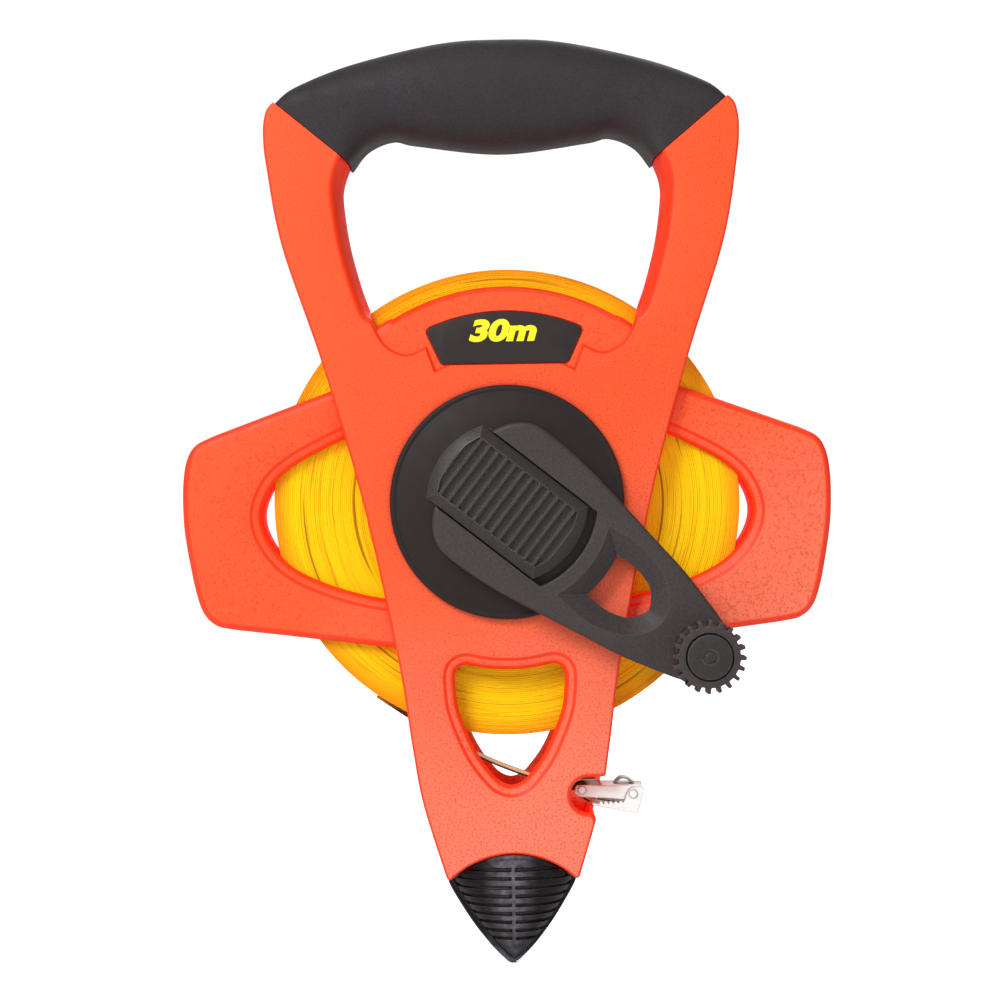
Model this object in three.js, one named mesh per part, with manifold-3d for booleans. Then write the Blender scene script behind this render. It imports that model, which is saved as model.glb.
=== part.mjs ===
// Open-reel surveyor's tape: a 30 m fibreglass tape on a crank-driven drum, carried in a two-part moulded
// frame with a hand grip on top, a ground spike at the bottom and a folding end hook in a notch of the neck.
// Millimetres. X is to the right, -Y is the crank side and Z is up. Sub-parts are drawn about the drum axis,
// and the whole reel is then lowered so that the origin is the middle of the hand grip.

import Module from "manifold-3d";
import * as THREE from "three";
import { mergeVertices } from "three/addons/utils/BufferGeometryUtils.js";

const wasm = await Module();
wasm.setup();

// ---------------------------------------------------------------- driving dimensions

const GRIP_ABOVE_AXIS = 132; // from the drum axis to the middle of the grip

const TAPE_WIDTH = 13;
const TAPE_THICK = 0.5;
const ROLL_R = 76.5; // full 30 m roll
const CORE_R = 37;

const KITE_FACE = 16; // |y| of the raised kite plate, arms and neck
const WING_FACE = 11; // |y| of the side wings
const PLATE = 3; // moulded wall of the frame's faces
const RIM = 2.5; // moulded wall round the frame's edges
const SPLIT = 0.15; // each half stops this far from the middle plane
const CAVITY_R = 78; // drum space between the halves
const CAVITY_HALF = 7.8;
const GAP = 0.3; // clearance between pieces that touch or run on each other

const ARCH_TOP_R = 71; // top edge of the panel over the roll
const ARCH_STEP = 1; // the panel lies this far behind the kite plate
const LABEL_IN_R = 49;
const LABEL_OUT_R = 62;
const LABEL_HALF_ANGLE = 24.5;
const LABEL_THICK = 0.5;

const SPINDLE_R = 4;
const BUSHING_R = 12;
const BOSS_R = 16;
const HUB_BACK = 16.4;
const HUB_FRONT = 19;
const HUB_R = 38;
const HUB_NECK_R = 8;

const CRANK_ANGLE = 38.4; // degrees below level, towards the right
const ARM_BACK = 19.3;
const ARM_FRONT = 26.5;
const ARM_FLOOR = 21;
const PAD_R = 26;
const PAD_HALF = 14.7;
const PAD_FRONT = 28.5;
const LOCK_TRAVEL = 2.6;
const BOLT_AT = 19.5;
const BOLT_R = 1.5;
const LOCK_RING_R = 27;
const LOCK_NOTCHES = 24;

const KNOB_AT = 79.6;
const KNOB_TOOTH_R = 11.5;
const KNOB_ROOT_R = 9.7;
const KNOB_TEETH = 20;
const KNOB_FRONT = 49.5;
const KNOB_CAP_R = 7.1;
const KNOB_PIN_R = 3;

const SPIKE_ARC_R = 29; // top edge of the spike, centred on the middle line
const SPIKE_ARC_Z = -143.9;
const SPIKE_TIP_Z = -151.9;

const HOOK_PIN = [23, -95];
const CLAW_PIN = [39.8, -96.4];
const CHEEK_IN = 6.9; // |y| of the hook's inner cheeks
const SHEET = 0.6;

// ---------------------------------------------------------------- colours

const finish = (color, roughness, metalness = 0) => ({ color, roughness, metalness });
const ORANGE = finish(0xfc623a, 0.45);
const GRIP_BLACK = finish(0x3e3c42, 0.7);
const MOULDED_BLACK = finish(0x484647, 0.6);
const HUB_BLACK = finish(0x363132, 0.65);
const SPIKE_BLACK = finish(0x232126, 0.5);
const TAPE_YELLOW = finish(0xfccb19, 0.5);
const LABEL_DARK = finish(0x2d2626, 0.4);
const NICKEL = finish(0xd8d4cc, 0.25, 1);
const STEEL = finish(0xa8a8a6, 0.35, 1);
const ACETAL = finish(0xe6e2d8, 0.5);

// ---------------------------------------------------------------- helpers

const radians = THREE.MathUtils.degToRad;
const at = (x, z) => new THREE.Vector2(x, z);
const points = (list) => list.map(([x, z]) => at(x, z));
const mirrorX = (list) => list.map((p) => at(-p.x, p.y)).reverse();
const smooth = (list, count) => new THREE.SplineCurve(points(list)).getSpacedPoints(count);

function arc(x, z, r, fromDeg, toDeg, steps) {
  return Array.from({ length: steps + 1 }, (_, i) => {
    const a = radians(fromDeg + ((toDeg - fromDeg) * i) / steps);
    return at(x + r * Math.cos(a), z + r * Math.sin(a));
  });
}

// moves a closed outline inwards (or outwards, if distance is negative) along its corners' bisectors
function inset(outline, distance) {
  const turn = THREE.ShapeUtils.area(outline) > 0 ? 1 : -1;
  return outline.map((p, i) => {
    const before = p.clone().sub(outline.at(i - 1)).normalize();
    const after = outline[(i + 1) % outline.length].clone().sub(p).normalize();
    const normal = at(-before.y - after.y, before.x + after.x).normalize().multiplyScalar(turn);
    const corner = Math.max(0.5, normal.dot(at(-before.y, before.x).multiplyScalar(turn)));
    return p.clone().addScaledVector(normal, distance / corner);
  });
}

// a three.js geometry as a solid that can be cut and joined
function solid(geometry) {
  const bare = geometry.clone();
  bare.deleteAttribute("normal");
  bare.deleteAttribute("uv");
  const merged = mergeVertices(bare, 1e-5);
  return new wasm.Manifold(
    new wasm.Mesh({
      numProp: 3,
      vertProperties: new Float32Array(merged.attributes.position.array),
      triVerts: new Uint32Array(merged.index.array),
    }),
  );
}

function geometryOf(body) {
  const mesh = body.getMesh();
  const geometry = new THREE.BufferGeometry();
  geometry.setAttribute("position", new THREE.BufferAttribute(mesh.vertProperties, 3));
  geometry.setIndex(new THREE.BufferAttribute(mesh.triVerts, 1));
  return geometry;
}

// an outline in the XZ plane as a plate between two depths, front being the lower y
function plate(outline, front, back) {
  const geometry = new THREE.ExtrudeGeometry(new THREE.Shape(outline), {
    depth: back - front,
    bevelEnabled: false,
  });
  return solid(geometry.rotateX(Math.PI / 2).translate(0, back, 0));
}

// a plate whose front edge is rounded over: rings of the outline, each a little further in
function rounded(outline, front, back, radius, steps) {
  const loop = THREE.ShapeUtils.area(outline) > 0 ? outline : [...outline].reverse();
  const rings = [{ y: back, line: loop }];
  for (let i = 0; i <= steps; i += 1) {
    const a = radians((90 * i) / steps);
    rings.push({ y: front + radius * (1 - Math.sin(a)), line: inset(loop, radius * (1 - Math.cos(a))) });
  }
  const n = loop.length;
  const index = [];
  for (let r = 0; r + 1 < rings.length; r += 1) {
    for (let i = 0; i < n; i += 1) {
      const [a, b] = [r * n + i, r * n + ((i + 1) % n)];
      index.push(a, b, b + n, a, b + n, a + n);
    }
  }
  const last = (rings.length - 1) * n;
  for (const [a, b, c] of THREE.ShapeUtils.triangulateShape(loop, [])) {
    index.push(c, b, a, last + a, last + b, last + c);
  }
  const geometry = new THREE.BufferGeometry();
  const positions = rings.flatMap(({ y, line }) => line.flatMap((p) => [p.x, y, p.y]));
  geometry.setAttribute("position", new THREE.Float32BufferAttribute(positions, 3));
  geometry.setIndex(index);
  return solid(geometry);
}

function disc(r, front, back, x = 0, z = 0, sides = 32) {
  const geometry = new THREE.CylinderGeometry(r, r, back - front, sides);
  return solid(geometry.translate(x, (front + back) / 2, z));
}

const tube = (rOut, rIn, front, back, x = 0, z = 0, sides = 32) =>
  disc(rOut, front, back, x, z, sides).subtract(disc(rIn, front - 1, back + 1, x, z, sides));

function block(x0, x1, y0, y1, z0, z1) {
  const geometry = new THREE.BoxGeometry(x1 - x0, y1 - y0, z1 - z0);
  return solid(geometry.translate((x0 + x1) / 2, (y0 + y1) / 2, (z0 + z1) / 2));
}

const union = (bodies) => bodies.reduce((sum, next) => sum.add(next));
const flipped = (body) => body.mirror([0, 1, 0]);

const reel = new THREE.Group();
const crank = new THREE.Group(); // local +X runs out along the crank arm
crank.rotation.y = radians(CRANK_ANGLE);
reel.add(crank);

function piece(name, body, look, parent = reel) {
  const mesh = new THREE.Mesh(geometryOf(body), new THREE.MeshStandardMaterial(look));
  mesh.name = name;
  parent.add(mesh);
}

// ---------------------------------------------------------------- outlines

// the raised kite: both arms, the hub plate and the neck, with the spike's arc as its lower edge
const kiteSide = smooth(
  [[73.8, 131.5], [76.7, 127.3], [77.5, 121], [76.5, 110], [71.8, 84], [59.3, 45.5], [46.8, 0], [36.2, -51.4],
    [32.2, -78.7], [28.8, -98.2], [21.2, -123.6]],
  24,
);
const handleTop = smooth(
  [[-73.8, 131.5], [-67.3, 137.3], [-49.9, 144.8], [-21.2, 151.5], [0, 152.8], [21.2, 151.5], [49.9, 144.8],
    [67.3, 137.3], [73.8, 131.5]],
  18,
);
const spikeArc = arc(0, SPIKE_ARC_Z, SPIKE_ARC_R + GAP, 136.2, 43.8, 10).reverse();
const KITE = [
  ...handleTop,
  ...kiteSide.slice(1),
  ...spikeArc.slice(1, -1),
  ...mirrorX(kiteSide).slice(0, -1),
];

// the hand opening, between the arms and the top edge of the arch panel, and up into the grip
const openingSide = smooth(
  [[50.1, 112], [52.4, 105.4], [52.5, 98.8], [50.6, 85.5], [47.2, 72.3], [44.6, 65], [42.5, 62.1]],
  10,
);
const gripUnderside = smooth(
  [[-49.6, 111.4], [-44, 117.2], [-35.5, 120.2], [-27.6, 118.6], [0, 115.4], [27.6, 118.6], [35.5, 120.2],
    [44, 117.2], [49.6, 111.4]],
  22,
);
const archTop = arc(0, 0, ARCH_TOP_R, 60, 120, 10);
const HAND_OPENING = [...openingSide, ...archTop, ...mirrorX(openingSide), at(-42, 122), at(42, 122)];

const GRIP = [...handleTop, ...[...gripUnderside].reverse()];

// the core of the handle, hidden in the grip, with both ends well inside the arms
const HANDLE_CORE = [
  ...smooth([[-66, 125], [-40, 138], [0, 145], [40, 138], [66, 125]], 10),
  ...smooth([[58, 113], [38, 127], [0, 123], [-38, 127], [-58, 113]], 12),
];

const wingTop = points([[20, 50], [57.9, 37], [89.3, 25.6]]);
const wingEnd = smooth(
  [
    [97.5, 22.7], [102.5, 19.8], [105.3, 14], [106.2, 5],
    [106, -8], [102.7, -26.9], [99.8, -35], [93.2, -39.9],
  ],
  13,
);
const WING_SIDE = [...wingTop, ...wingEnd, ...points([[71.7, -42.8], [20, -50.2]])];
const WINGS = [...WING_SIDE, ...mirrorX(WING_SIDE)];
// the pointed oval hole through each wing, whose inner end lies behind the kite
const wingHoleEdge = smooth(
  [[45, 23.9], [61, 17.7], [72.8, 10.9], [79.4, 1.6], [80.4, -5], [74.6, -16.4], [58, -26.4], [38, -31.2]],
  16,
);
const WING_HOLE = [...wingHoleEdge, at(30, -31), at(40, 23.5)];

const neckSide = smooth([[17.8, -55], [17.8, -60], [14.5, -74], [10.5, -82.5], [5, -89.6], [0, -92.3]], 10);
const NECK_WINDOW = [...arc(0, 0, 54.7, -108, -72, 8), ...neckSide, ...mirrorX(neckSide).slice(1)];

const NOTCH_X = 24.9;
const NOTCH_Z = -95.8;
const NOTCH_R = 5.8;
const NOTCH_FLOOR = 12.4; // the rear half's face plate closes the notch at the back
const NOTCH = [
  ...arc(NOTCH_X, NOTCH_Z, NOTCH_R, 90, 270, 10),
  ...points([[26.2, -102], [27.2, -103.2], [27.4, -105], [36, -105], [36, -88.4], [31.6, -88.6], [30, -90]]),
];

// where the free stretch of tape comes in through the neck's left side
const LEAD_SLOT = points([[-37, -65.5], [-27, -70.5], [-27, -77], [-37, -71]]);

const archSide = points([[50, 72], [44, 61.8], [41, 54], [37.6, 49.6], [32, 48.3]]);
const ARCH = [...archSide, ...arc(0, 0, 48.7, 60, 120, 10), ...mirrorX(archSide)];

const sector = (rIn, rOut, half, steps) => [
  ...arc(0, 0, rOut, 90 - half, 90 + half, steps),
  ...arc(0, 0, rIn, 90 + half, 90 - half, steps),
];
const LABEL = sector(LABEL_IN_R, LABEL_OUT_R, LABEL_HALF_ANGLE, 10);

// ---------------------------------------------------------------- frame halves and their screws

// screws go in from the back, each through a boss of both halves
const NECK_SCREW_Z = -107;
const FRAME_SCREWS = [
  { name: "arm_screw_left", x: -63.5, z: 98, face: KITE_FACE },
  { name: "arm_screw_right", x: 63.5, z: 98, face: KITE_FACE },
  { name: "wing_screw_upper_left", x: -91.5, z: 10, face: WING_FACE },
  { name: "wing_screw_upper_right", x: 91.5, z: 10, face: WING_FACE },
  { name: "wing_screw_lower_left", x: -91, z: -25, face: WING_FACE },
  { name: "wing_screw_lower_right", x: 91, z: -25, face: WING_FACE },
  { name: "neck_screw", x: 0, z: NECK_SCREW_Z, face: KITE_FACE },
];
const SCREW_R = 1.5;
const SCREW_HEAD_R = 3;
const SCREW_HEAD = 2;
const SCREW_SUNK = 1; // the head lies this far under the face
const SCREW_BOSS_R = 4.5;
const HANDLE_CORE_HALF = 9;

// one half of the moulding without its fittings, drawn as the front half
function frameShell() {
  const grip = plate(inset(GRIP, -GAP), -KITE_FACE - 1, 1);
  const bosses = union(FRAME_SCREWS.map((s) => disc(SCREW_BOSS_R, -KITE_FACE, 0, s.x, s.z, 10)));
  const kitePocket = plate(inset(KITE, RIM), -KITE_FACE + PLATE, 1)
    .subtract(plate(inset(HAND_OPENING, -RIM), -KITE_FACE, 2))
    .subtract(plate(inset(GRIP, -GAP - RIM), -KITE_FACE, 2))
    .subtract(bosses);
  const wingPocket = plate(inset(WINGS, RIM), -CAVITY_HALF, 1)
    .subtract(disc(CAVITY_R + RIM, -KITE_FACE, 2, 0, 0, 48))
    .subtract(bosses);
  const shell = plate(KITE, -KITE_FACE, -SPLIT)
    .subtract(grip)
    .add(plate(WINGS, -WING_FACE, -SPLIT))
    .add(plate(HANDLE_CORE, -HANDLE_CORE_HALF, -SPLIT));
  const wingHole = plate(WING_HOLE, -WING_FACE - 1, 1);
  const kiteFace = plate(KITE, -KITE_FACE, -KITE_FACE + PLATE);
  const opened = shell
    .subtract(kitePocket)
    .subtract(wingPocket)
    .subtract(disc(CAVITY_R, -CAVITY_HALF, 1, 0, 0, 48))
    .subtract(wingHole)
    .subtract(wingHole.mirror([1, 0, 0]))
    .add(kiteFace.subtract(grip))
    .subtract(plate(HAND_OPENING, -KITE_FACE - 1, 1).subtract(plate(HANDLE_CORE, -HANDLE_CORE_HALF, 2)))
    .subtract(plate(NECK_WINDOW, -KITE_FACE - 1, 1))
    .subtract(plate(LEAD_SLOT, -TAPE_WIDTH / 2 - 1, 1))
    .subtract(plate(ARCH, -KITE_FACE - 1, -KITE_FACE + ARCH_STEP));
  return opened;
}

// the thick plate and boss that carry the drum's bushing
const HUB_PLATE_R = 31;
const HUB_PLATE_FRONT = 13.2;
const HUB_PLATE_BACK = 11.5;
const BOSS_BACK = 9;
const hubBoss = disc(HUB_PLATE_R, -HUB_PLATE_FRONT, -HUB_PLATE_BACK, 0, 0, 32)
  .add(disc(BOSS_R, -HUB_PLATE_FRONT, -BOSS_BACK, 0, 0, 32))
  .subtract(disc(BUSHING_R + GAP, -20, 0, 0, 0, 32));

const TANG_HALF = 8;
const TANG_TOP = -99;
const tangSpace = block(-TANG_HALF - GAP, TANG_HALF + GAP, -CAVITY_HALF - GAP, 1, -125, TANG_TOP + GAP)
  .subtract(disc(SCREW_BOSS_R, -KITE_FACE, 2, 0, NECK_SCREW_Z, 20));

const LOCK_POCKET_FLOOR = 14.3;
const LABEL_FLOOR = 14.4;

function frontFrame() {
  const screwHoles = union(
    FRAME_SCREWS.map((s) => disc(SCREW_R + GAP, -s.face + PLATE + 1, 1, s.x, s.z, 8)),
  );
  return frameShell()
    .add(hubBoss)
    .subtract(disc(BUSHING_R + GAP, -20, 0, 0, 0, 32))
    .subtract(disc(LOCK_RING_R + GAP, -20, -LOCK_POCKET_FLOOR))
    .subtract(plate(inset(LABEL, -GAP), -20, -LABEL_FLOOR))
    .subtract(plate(NOTCH, -KITE_FACE - 1, 1))
    .subtract(tangSpace)
    .subtract(screwHoles);
}

const CAP_R = 20;
const CAP_FLOOR = 13.6;

function rearFrame() {
  const screwHoles = union(
    FRAME_SCREWS.map((s) =>
      disc(SCREW_R + GAP, -20, 1, s.x, s.z, 8).add(
        disc(SCREW_HEAD_R + GAP, -20, -s.face + SCREW_SUNK + SCREW_HEAD + GAP, s.x, s.z, 12),
      ),
    ),
  );
  return flipped(
    frameShell()
      .add(hubBoss)
      .subtract(disc(BUSHING_R + GAP, -20, 0, 0, 0, 32))
      .subtract(disc(CAP_R + GAP, -20, -CAP_FLOOR))
      .subtract(plate(NOTCH, -NOTCH_FLOOR, 1))
      .subtract(tangSpace)
      .subtract(screwHoles),
  );
}

piece("front_frame", frontFrame(), ORANGE);
piece("rear_frame", rearFrame(), ORANGE);

for (const s of FRAME_SCREWS) {
  const headBack = s.face - SCREW_SUNK;
  const headFront = headBack - SCREW_HEAD;
  const tip = -s.face + PLATE + 2;
  const screw = disc(SCREW_HEAD_R, headFront, headBack, s.x, s.z, 12).add(
    disc(SCREW_R, tip, headFront + 0.5, s.x, s.z, 8),
  );
  const slot = block(s.x - 2, s.x + 2, headBack - 1, headBack + 1, s.z - 0.4, s.z + 0.4)
    .add(block(s.x - 0.4, s.x + 0.4, headBack - 1, headBack + 1, s.z - 2, s.z + 2));
  piece(s.name, screw.subtract(slot), STEEL);
}

// ---------------------------------------------------------------- grip

// each grip shell wraps one side of the handle core; its outer edge is rounded
function gripShell() {
  return rounded(GRIP, -KITE_FACE, -SPLIT, 6, 4)
    .subtract(plate(inset(HANDLE_CORE, -GAP), -HANDLE_CORE_HALF - GAP, 2));
}

piece("front_grip", gripShell(), GRIP_BLACK);
piece("rear_grip", flipped(gripShell()), GRIP_BLACK);

// ---------------------------------------------------------------- label

piece("capacity_label", plate(LABEL, -LABEL_FLOOR - GAP - LABEL_THICK, -LABEL_FLOOR - GAP), LABEL_DARK);

// ---------------------------------------------------------------- ground spike

function groundSpike() {
  const side = smooth(
    [
      [20.9, -124], [20.2, -126.3], [16.4, -132.9], [12.1, -139.5],
      [6.9, -146.1], [2.9, -150.2], [0, SPIKE_TIP_Z],
    ],
    14,
  );
  const topArc = arc(0, SPIKE_ARC_Z, SPIKE_ARC_R, 136, 44, 12);
  const front = [...side, ...mirrorX(side).slice(1, -1), ...topArc.slice(0, -1)];
  const depths = points([[15.4, -110], [15.4, -122], [12.5, -135], [7, -145], [2, SPIKE_TIP_Z - 1]]);
  const taper = new THREE.Shape([...mirrorX(depths).reverse(), ...depths.reverse()]);
  const wedge = new THREE.ExtrudeGeometry(taper, { depth: 60, bevelEnabled: false })
    .translate(0, 0, -30)
    .rotateX(Math.PI / 2)
    .rotateZ(Math.PI / 2);
  const tang = block(-TANG_HALF, TANG_HALF, -CAVITY_HALF, CAVITY_HALF, -120, TANG_TOP)
    .subtract(disc(SCREW_BOSS_R + GAP, -20, 20, 0, NECK_SCREW_Z, 20));
  return plate(front, -KITE_FACE, KITE_FACE).intersect(solid(wedge)).add(tang);
}

piece("ground_spike", groundSpike(), SPIKE_BLACK);

// ---------------------------------------------------------------- bearings and lock ring

const THRUST_R = 15;
const THRUST_IN = 7.2;
const THRUST_OUT = 8.7;

const bushing = (bore, front) =>
  disc(BUSHING_R, -front, -THRUST_OUT, 0, 0, 32)
    .add(disc(THRUST_R, -THRUST_OUT, -THRUST_IN, 0, 0, 32))
    .subtract(disc(bore, -20, 0, 0, 0, 32));

piece("front_bushing", bushing(HUB_NECK_R + 0.4, LOCK_POCKET_FLOOR - GAP), ACETAL);
piece("rear_bushing", flipped(bushing(SPINDLE_R + 0.4, CAP_FLOOR - GAP)), ACETAL);

function lockRing() {
  const notchIn = 21.6;
  const notchOut = 24.6;
  const notchHalf = 1.9;
  let ring = tube(LOCK_RING_R, notchIn, -KITE_FACE + 0.05, -LOCK_POCKET_FLOOR - GAP, 0, 0, 48);
  const notch = block(notchIn - 2, notchOut, -20, -10, -notchHalf, notchHalf);
  for (let i = 0; i < LOCK_NOTCHES; i += 1) {
    ring = ring.subtract(notch.rotate([0, CRANK_ANGLE + (360 / LOCK_NOTCHES) * i, 0]));
  }
  return ring;
}

piece("lock_ring", lockRing(), STEEL);

// ---------------------------------------------------------------- drum and wound tape

const DRUM_HALF = 6.7;
const SLOT_HALF = 6;

function drumCore() {
  const rim = tube(CORE_R - GAP, CORE_R - 4.5, -DRUM_HALF, DRUM_HALF, 0, 0, 48);
  const web = tube(CORE_R - 4, SPINDLE_R + GAP, -1.5, 1.5, 0, 0, 48);
  const boss = tube(9.5, SPINDLE_R + GAP, -DRUM_HALF, DRUM_HALF, 0, 0, 24);
  const anchorSlot = block(-SLOT_HALF, SLOT_HALF, 2, DRUM_HALF + 1, CORE_R - 3.2, CORE_R - 1);
  return union([rim, web, boss]).subtract(anchorSlot);
}

piece("drum_core", drumCore(), MOULDED_BLACK);
piece("wound_tape", tube(ROLL_R, CORE_R, -TAPE_WIDTH / 2, TAPE_WIDTH / 2, 0, 0, 72), TAPE_YELLOW);
piece(
  "tape_anchor_clip",
  block(-SLOT_HALF + GAP, SLOT_HALF - GAP, 2 + GAP, DRUM_HALF, CORE_R - 3.2 + GAP, CORE_R - 1 - GAP),
  STEEL,
);

// ---------------------------------------------------------------- spindle, crank hub and their screws

const SCREW_BORE_R = 2.2;
const SHANK_R = 1.9;
const SPINDLE_FRONT = 18.7;
const SPINDLE_BACK = 13.5;

piece(
  "drum_spindle",
  disc(SPINDLE_R, -SPINDLE_FRONT, SPINDLE_BACK, 0, 0, 32)
    .subtract(disc(SCREW_BORE_R, -20, -8, 0, 0, 20))
    .subtract(disc(SCREW_BORE_R, 4, 20, 0, 0, 20)),
  STEEL,
);
piece(
  "crank_screw",
  disc(6, -20.7, -HUB_FRONT - GAP, 0, 0, 24).add(disc(SHANK_R, -HUB_FRONT - 1, -9, 0, 0, 20)),
  STEEL,
);
piece(
  "rear_cap",
  tube(CAP_R, SCREW_BORE_R, CAP_FLOOR + GAP, KITE_FACE - 0.2).subtract(disc(3.8, 14.6, 20, 0, 0, 24)),
  HUB_BLACK,
);
piece("rear_cap_screw", disc(3.4, 14.9, 15.6, 0, 0, 24).add(disc(SHANK_R, 5, 15, 0, 0, 20)), STEEL);

const ARM_SCREW_AT = 20;
const ARM_SCREW_X = -2;

function crankHub() {
  const armScrewHole = disc(SCREW_R + GAP, -20, 0, ARM_SCREW_X, ARM_SCREW_AT, 16)
    .add(disc(SCREW_HEAD_R + GAP, -HUB_BACK - 1.4, 0, ARM_SCREW_X, ARM_SCREW_AT, 20));
  return disc(HUB_R, -HUB_FRONT, -HUB_BACK, 0, 0, 56)
    .add(disc(HUB_NECK_R, -HUB_BACK - 0.5, -THRUST_IN + 0.1, 0, 0, 32))
    .subtract(disc(SPINDLE_R + GAP, -20, 0, 0, 0, 32))
    .subtract(boltSlot())
    .subtract(armScrewHole)
    .subtract(armScrewHole.mirror([0, 0, 1]));
}

function boltSlot() {
  const half = BOLT_R + GAP;
  return block(BOLT_AT - half, BOLT_AT + LOCK_TRAVEL + half, -22, -10, -half, half);
}

piece("crank_hub", crankHub(), HUB_BLACK, crank);

// ---------------------------------------------------------------- crank arm

const KNOB_END_R = 11.2;
const armSide = smooth(
  [[-17.6, 16], [-13.4, 22], [-6, 25.6], [12, 25], [31, 22], [45, 19.5], [59, 17], [73, 13.3], [79, 11.4]],
  30,
);
const acrossArm = (list) => list.map((p) => at(p.x, -p.y)).reverse();
const ARM = [...armSide, ...arc(KNOB_AT, 0, KNOB_END_R, 80, -80, 12), ...acrossArm(armSide)];

const windowSide = smooth([[38.8, 8.2], [46, 8], [53, 5.4], [57.5, 0]], 8);
const ARM_WINDOW = [...windowSide, ...acrossArm(windowSide).slice(1)];

// a round disc cut to a straight-sided band, as the thumb pad and its channel are
function banded(r, half, steps) {
  const a = THREE.MathUtils.radToDeg(Math.asin(half / r));
  return [...arc(0, 0, r, -a, a, steps), ...arc(0, 0, r, 180 - a, 180 + a, steps)];
}

function crankArm() {
  const channel = plate(banded(PAD_R + LOCK_TRAVEL + 0.4, PAD_HALF + GAP, 12), -40, -ARM_FLOOR);
  const screwHoles = disc(SCREW_R + GAP, -24.5, 0, ARM_SCREW_X, ARM_SCREW_AT, 16);
  return plate(ARM, -ARM_FRONT, -ARM_BACK)
    .add(plate(banded(PAD_R - 1.5, PAD_HALF + 1, 10), -ARM_FLOOR, -ARM_BACK))
    .subtract(channel)
    .subtract(plate(ARM_WINDOW, -40, 0))
    .subtract(disc(6.4, -40, 0, 0, 0, 24))
    .subtract(boltSlot())
    .subtract(disc(KNOB_PIN_R + GAP, -40, -ARM_BACK - 1.5, KNOB_AT, 0, 24))
    .subtract(screwHoles)
    .subtract(screwHoles.mirror([0, 0, 1]));
}

piece("crank_arm", crankArm(), MOULDED_BLACK, crank);

for (const [name, z] of [["arm_screw_a", ARM_SCREW_AT], ["arm_screw_b", -ARM_SCREW_AT]]) {
  const headBack = -HUB_BACK - 0.2;
  const screw = disc(SCREW_HEAD_R, headBack - 0.9, headBack, ARM_SCREW_X, z, 16)
    .add(disc(SCREW_R, -24, headBack - 0.5, ARM_SCREW_X, z, 12));
  piece(name, screw, STEEL, crank);
}

// ---------------------------------------------------------------- drum lock

const PAD_BACK = ARM_FLOOR + GAP;
const SPRING_AT = -9; // the click spring lies beside the pad's middle

function lockSlider() {
  const springSpace = block(-16, 18, -24.4, 0, SPRING_AT - 3.5, SPRING_AT + 3.5);
  return plate(banded(PAD_R, PAD_HALF, 12), -PAD_FRONT, -PAD_BACK)
    .subtract(disc(BOLT_R + GAP, -25, 0, BOLT_AT, 0, 20))
    .subtract(springSpace);
}

// a shallow leaf bow that clicks the slide into either position
function lockSpring() {
  const r = 37;
  const bow = arc(0, SPRING_AT + 1 - r, r, 109, 71, 12);
  const strip = [...bow, ...bow.map((p) => at(p.x, p.y - SHEET)).reverse()];
  return plate(strip, -23.9, -PAD_BACK);
}

piece("lock_slider", lockSlider(), MOULDED_BLACK, crank);
piece("lock_bolt", disc(BOLT_R, -24.6, -14.9, BOLT_AT, 0, 20), STEEL, crank);
piece("lock_spring", lockSpring(), STEEL, crank);

// ---------------------------------------------------------------- knob

const KNOB_BACK = ARM_FRONT + GAP;
const KNOB_HEAD = 40; // the toothed head starts here

function knobBody() {
  const face = -KNOB_FRONT + 0.9;
  const profile = points([[0, face], [8.6, face], [KNOB_ROOT_R, -47.6], [KNOB_ROOT_R, -KNOB_HEAD],
    [8.6, -KNOB_HEAD + 1], [8.2, -34], [9.8, -30], [9.4, -KNOB_BACK], [0, -KNOB_BACK]]);
  let body = solid(new THREE.LatheGeometry(profile, 24));
  const tooth = block(KNOB_ROOT_R - 0.5, KNOB_TOOTH_R, -47.2, -KNOB_HEAD, -0.68, 0.68);
  for (let i = 0; i < KNOB_TEETH; i += 1) body = body.add(tooth.rotate([0, (360 / KNOB_TEETH) * i, 0]));
  return body
    .subtract(disc(KNOB_PIN_R + 0.4, -47, 0, 0, 0, 24))
    .subtract(disc(KNOB_CAP_R + GAP, -60, -46.6, 0, 0, 32))
    .translate([KNOB_AT, 0, 0]);
}

piece("knob", knobBody(), MOULDED_BLACK, crank);
piece(
  "knob_cap",
  disc(KNOB_CAP_R, -KNOB_FRONT, -47.4, KNOB_AT, 0, 32).add(disc(1.5, -KNOB_FRONT - 0.5, -48, KNOB_AT, 0, 16)),
  SPIKE_BLACK,
  crank,
);
piece("knob_pin", disc(KNOB_PIN_R, -46.9, -ARM_BACK - 1.8, KNOB_AT, 0, 24), STEEL, crank);

// ---------------------------------------------------------------- tape lead, end clip and end hook

const PIN_R = 1.2;
const LOOP_IN = 1.5;

// the stretch from the roll to the hook: tangent to the roll, then a shallow sag to a loop on the pin
function tapeLead() {
  const route = smooth(
    [[-43.9, -63.3], [-32.2, -71.2], [-21, -78], [-7, -85.4], [7.3, -91], [20, -94.7]],
    22,
  );
  const last = route.length - 1;
  const half = TAPE_THICK / 2;
  const side = (sign) =>
    route.map((p, i) => {
      const along = route[Math.min(i + 1, last)].clone().sub(route[Math.max(i - 1, 0)]).normalize();
      return at(p.x - along.y * half * sign, p.y + along.x * half * sign);
    });
  const ribbon = plate([...side(1), ...side(-1).reverse()], -TAPE_WIDTH / 2, TAPE_WIDTH / 2);
  const loop = tube(LOOP_IN + 1, LOOP_IN, -TAPE_WIDTH / 2, TAPE_WIDTH / 2, ...HOOK_PIN, 24);
  const bridge = block(
    HOOK_PIN[0] - 3.4, HOOK_PIN[0] - LOOP_IN - 0.2,
    -TAPE_WIDTH / 2, TAPE_WIDTH / 2,
    HOOK_PIN[1] - 0.1, HOOK_PIN[1] + 0.5,
  );
  return union([ribbon, bridge, loop]);
}

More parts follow.
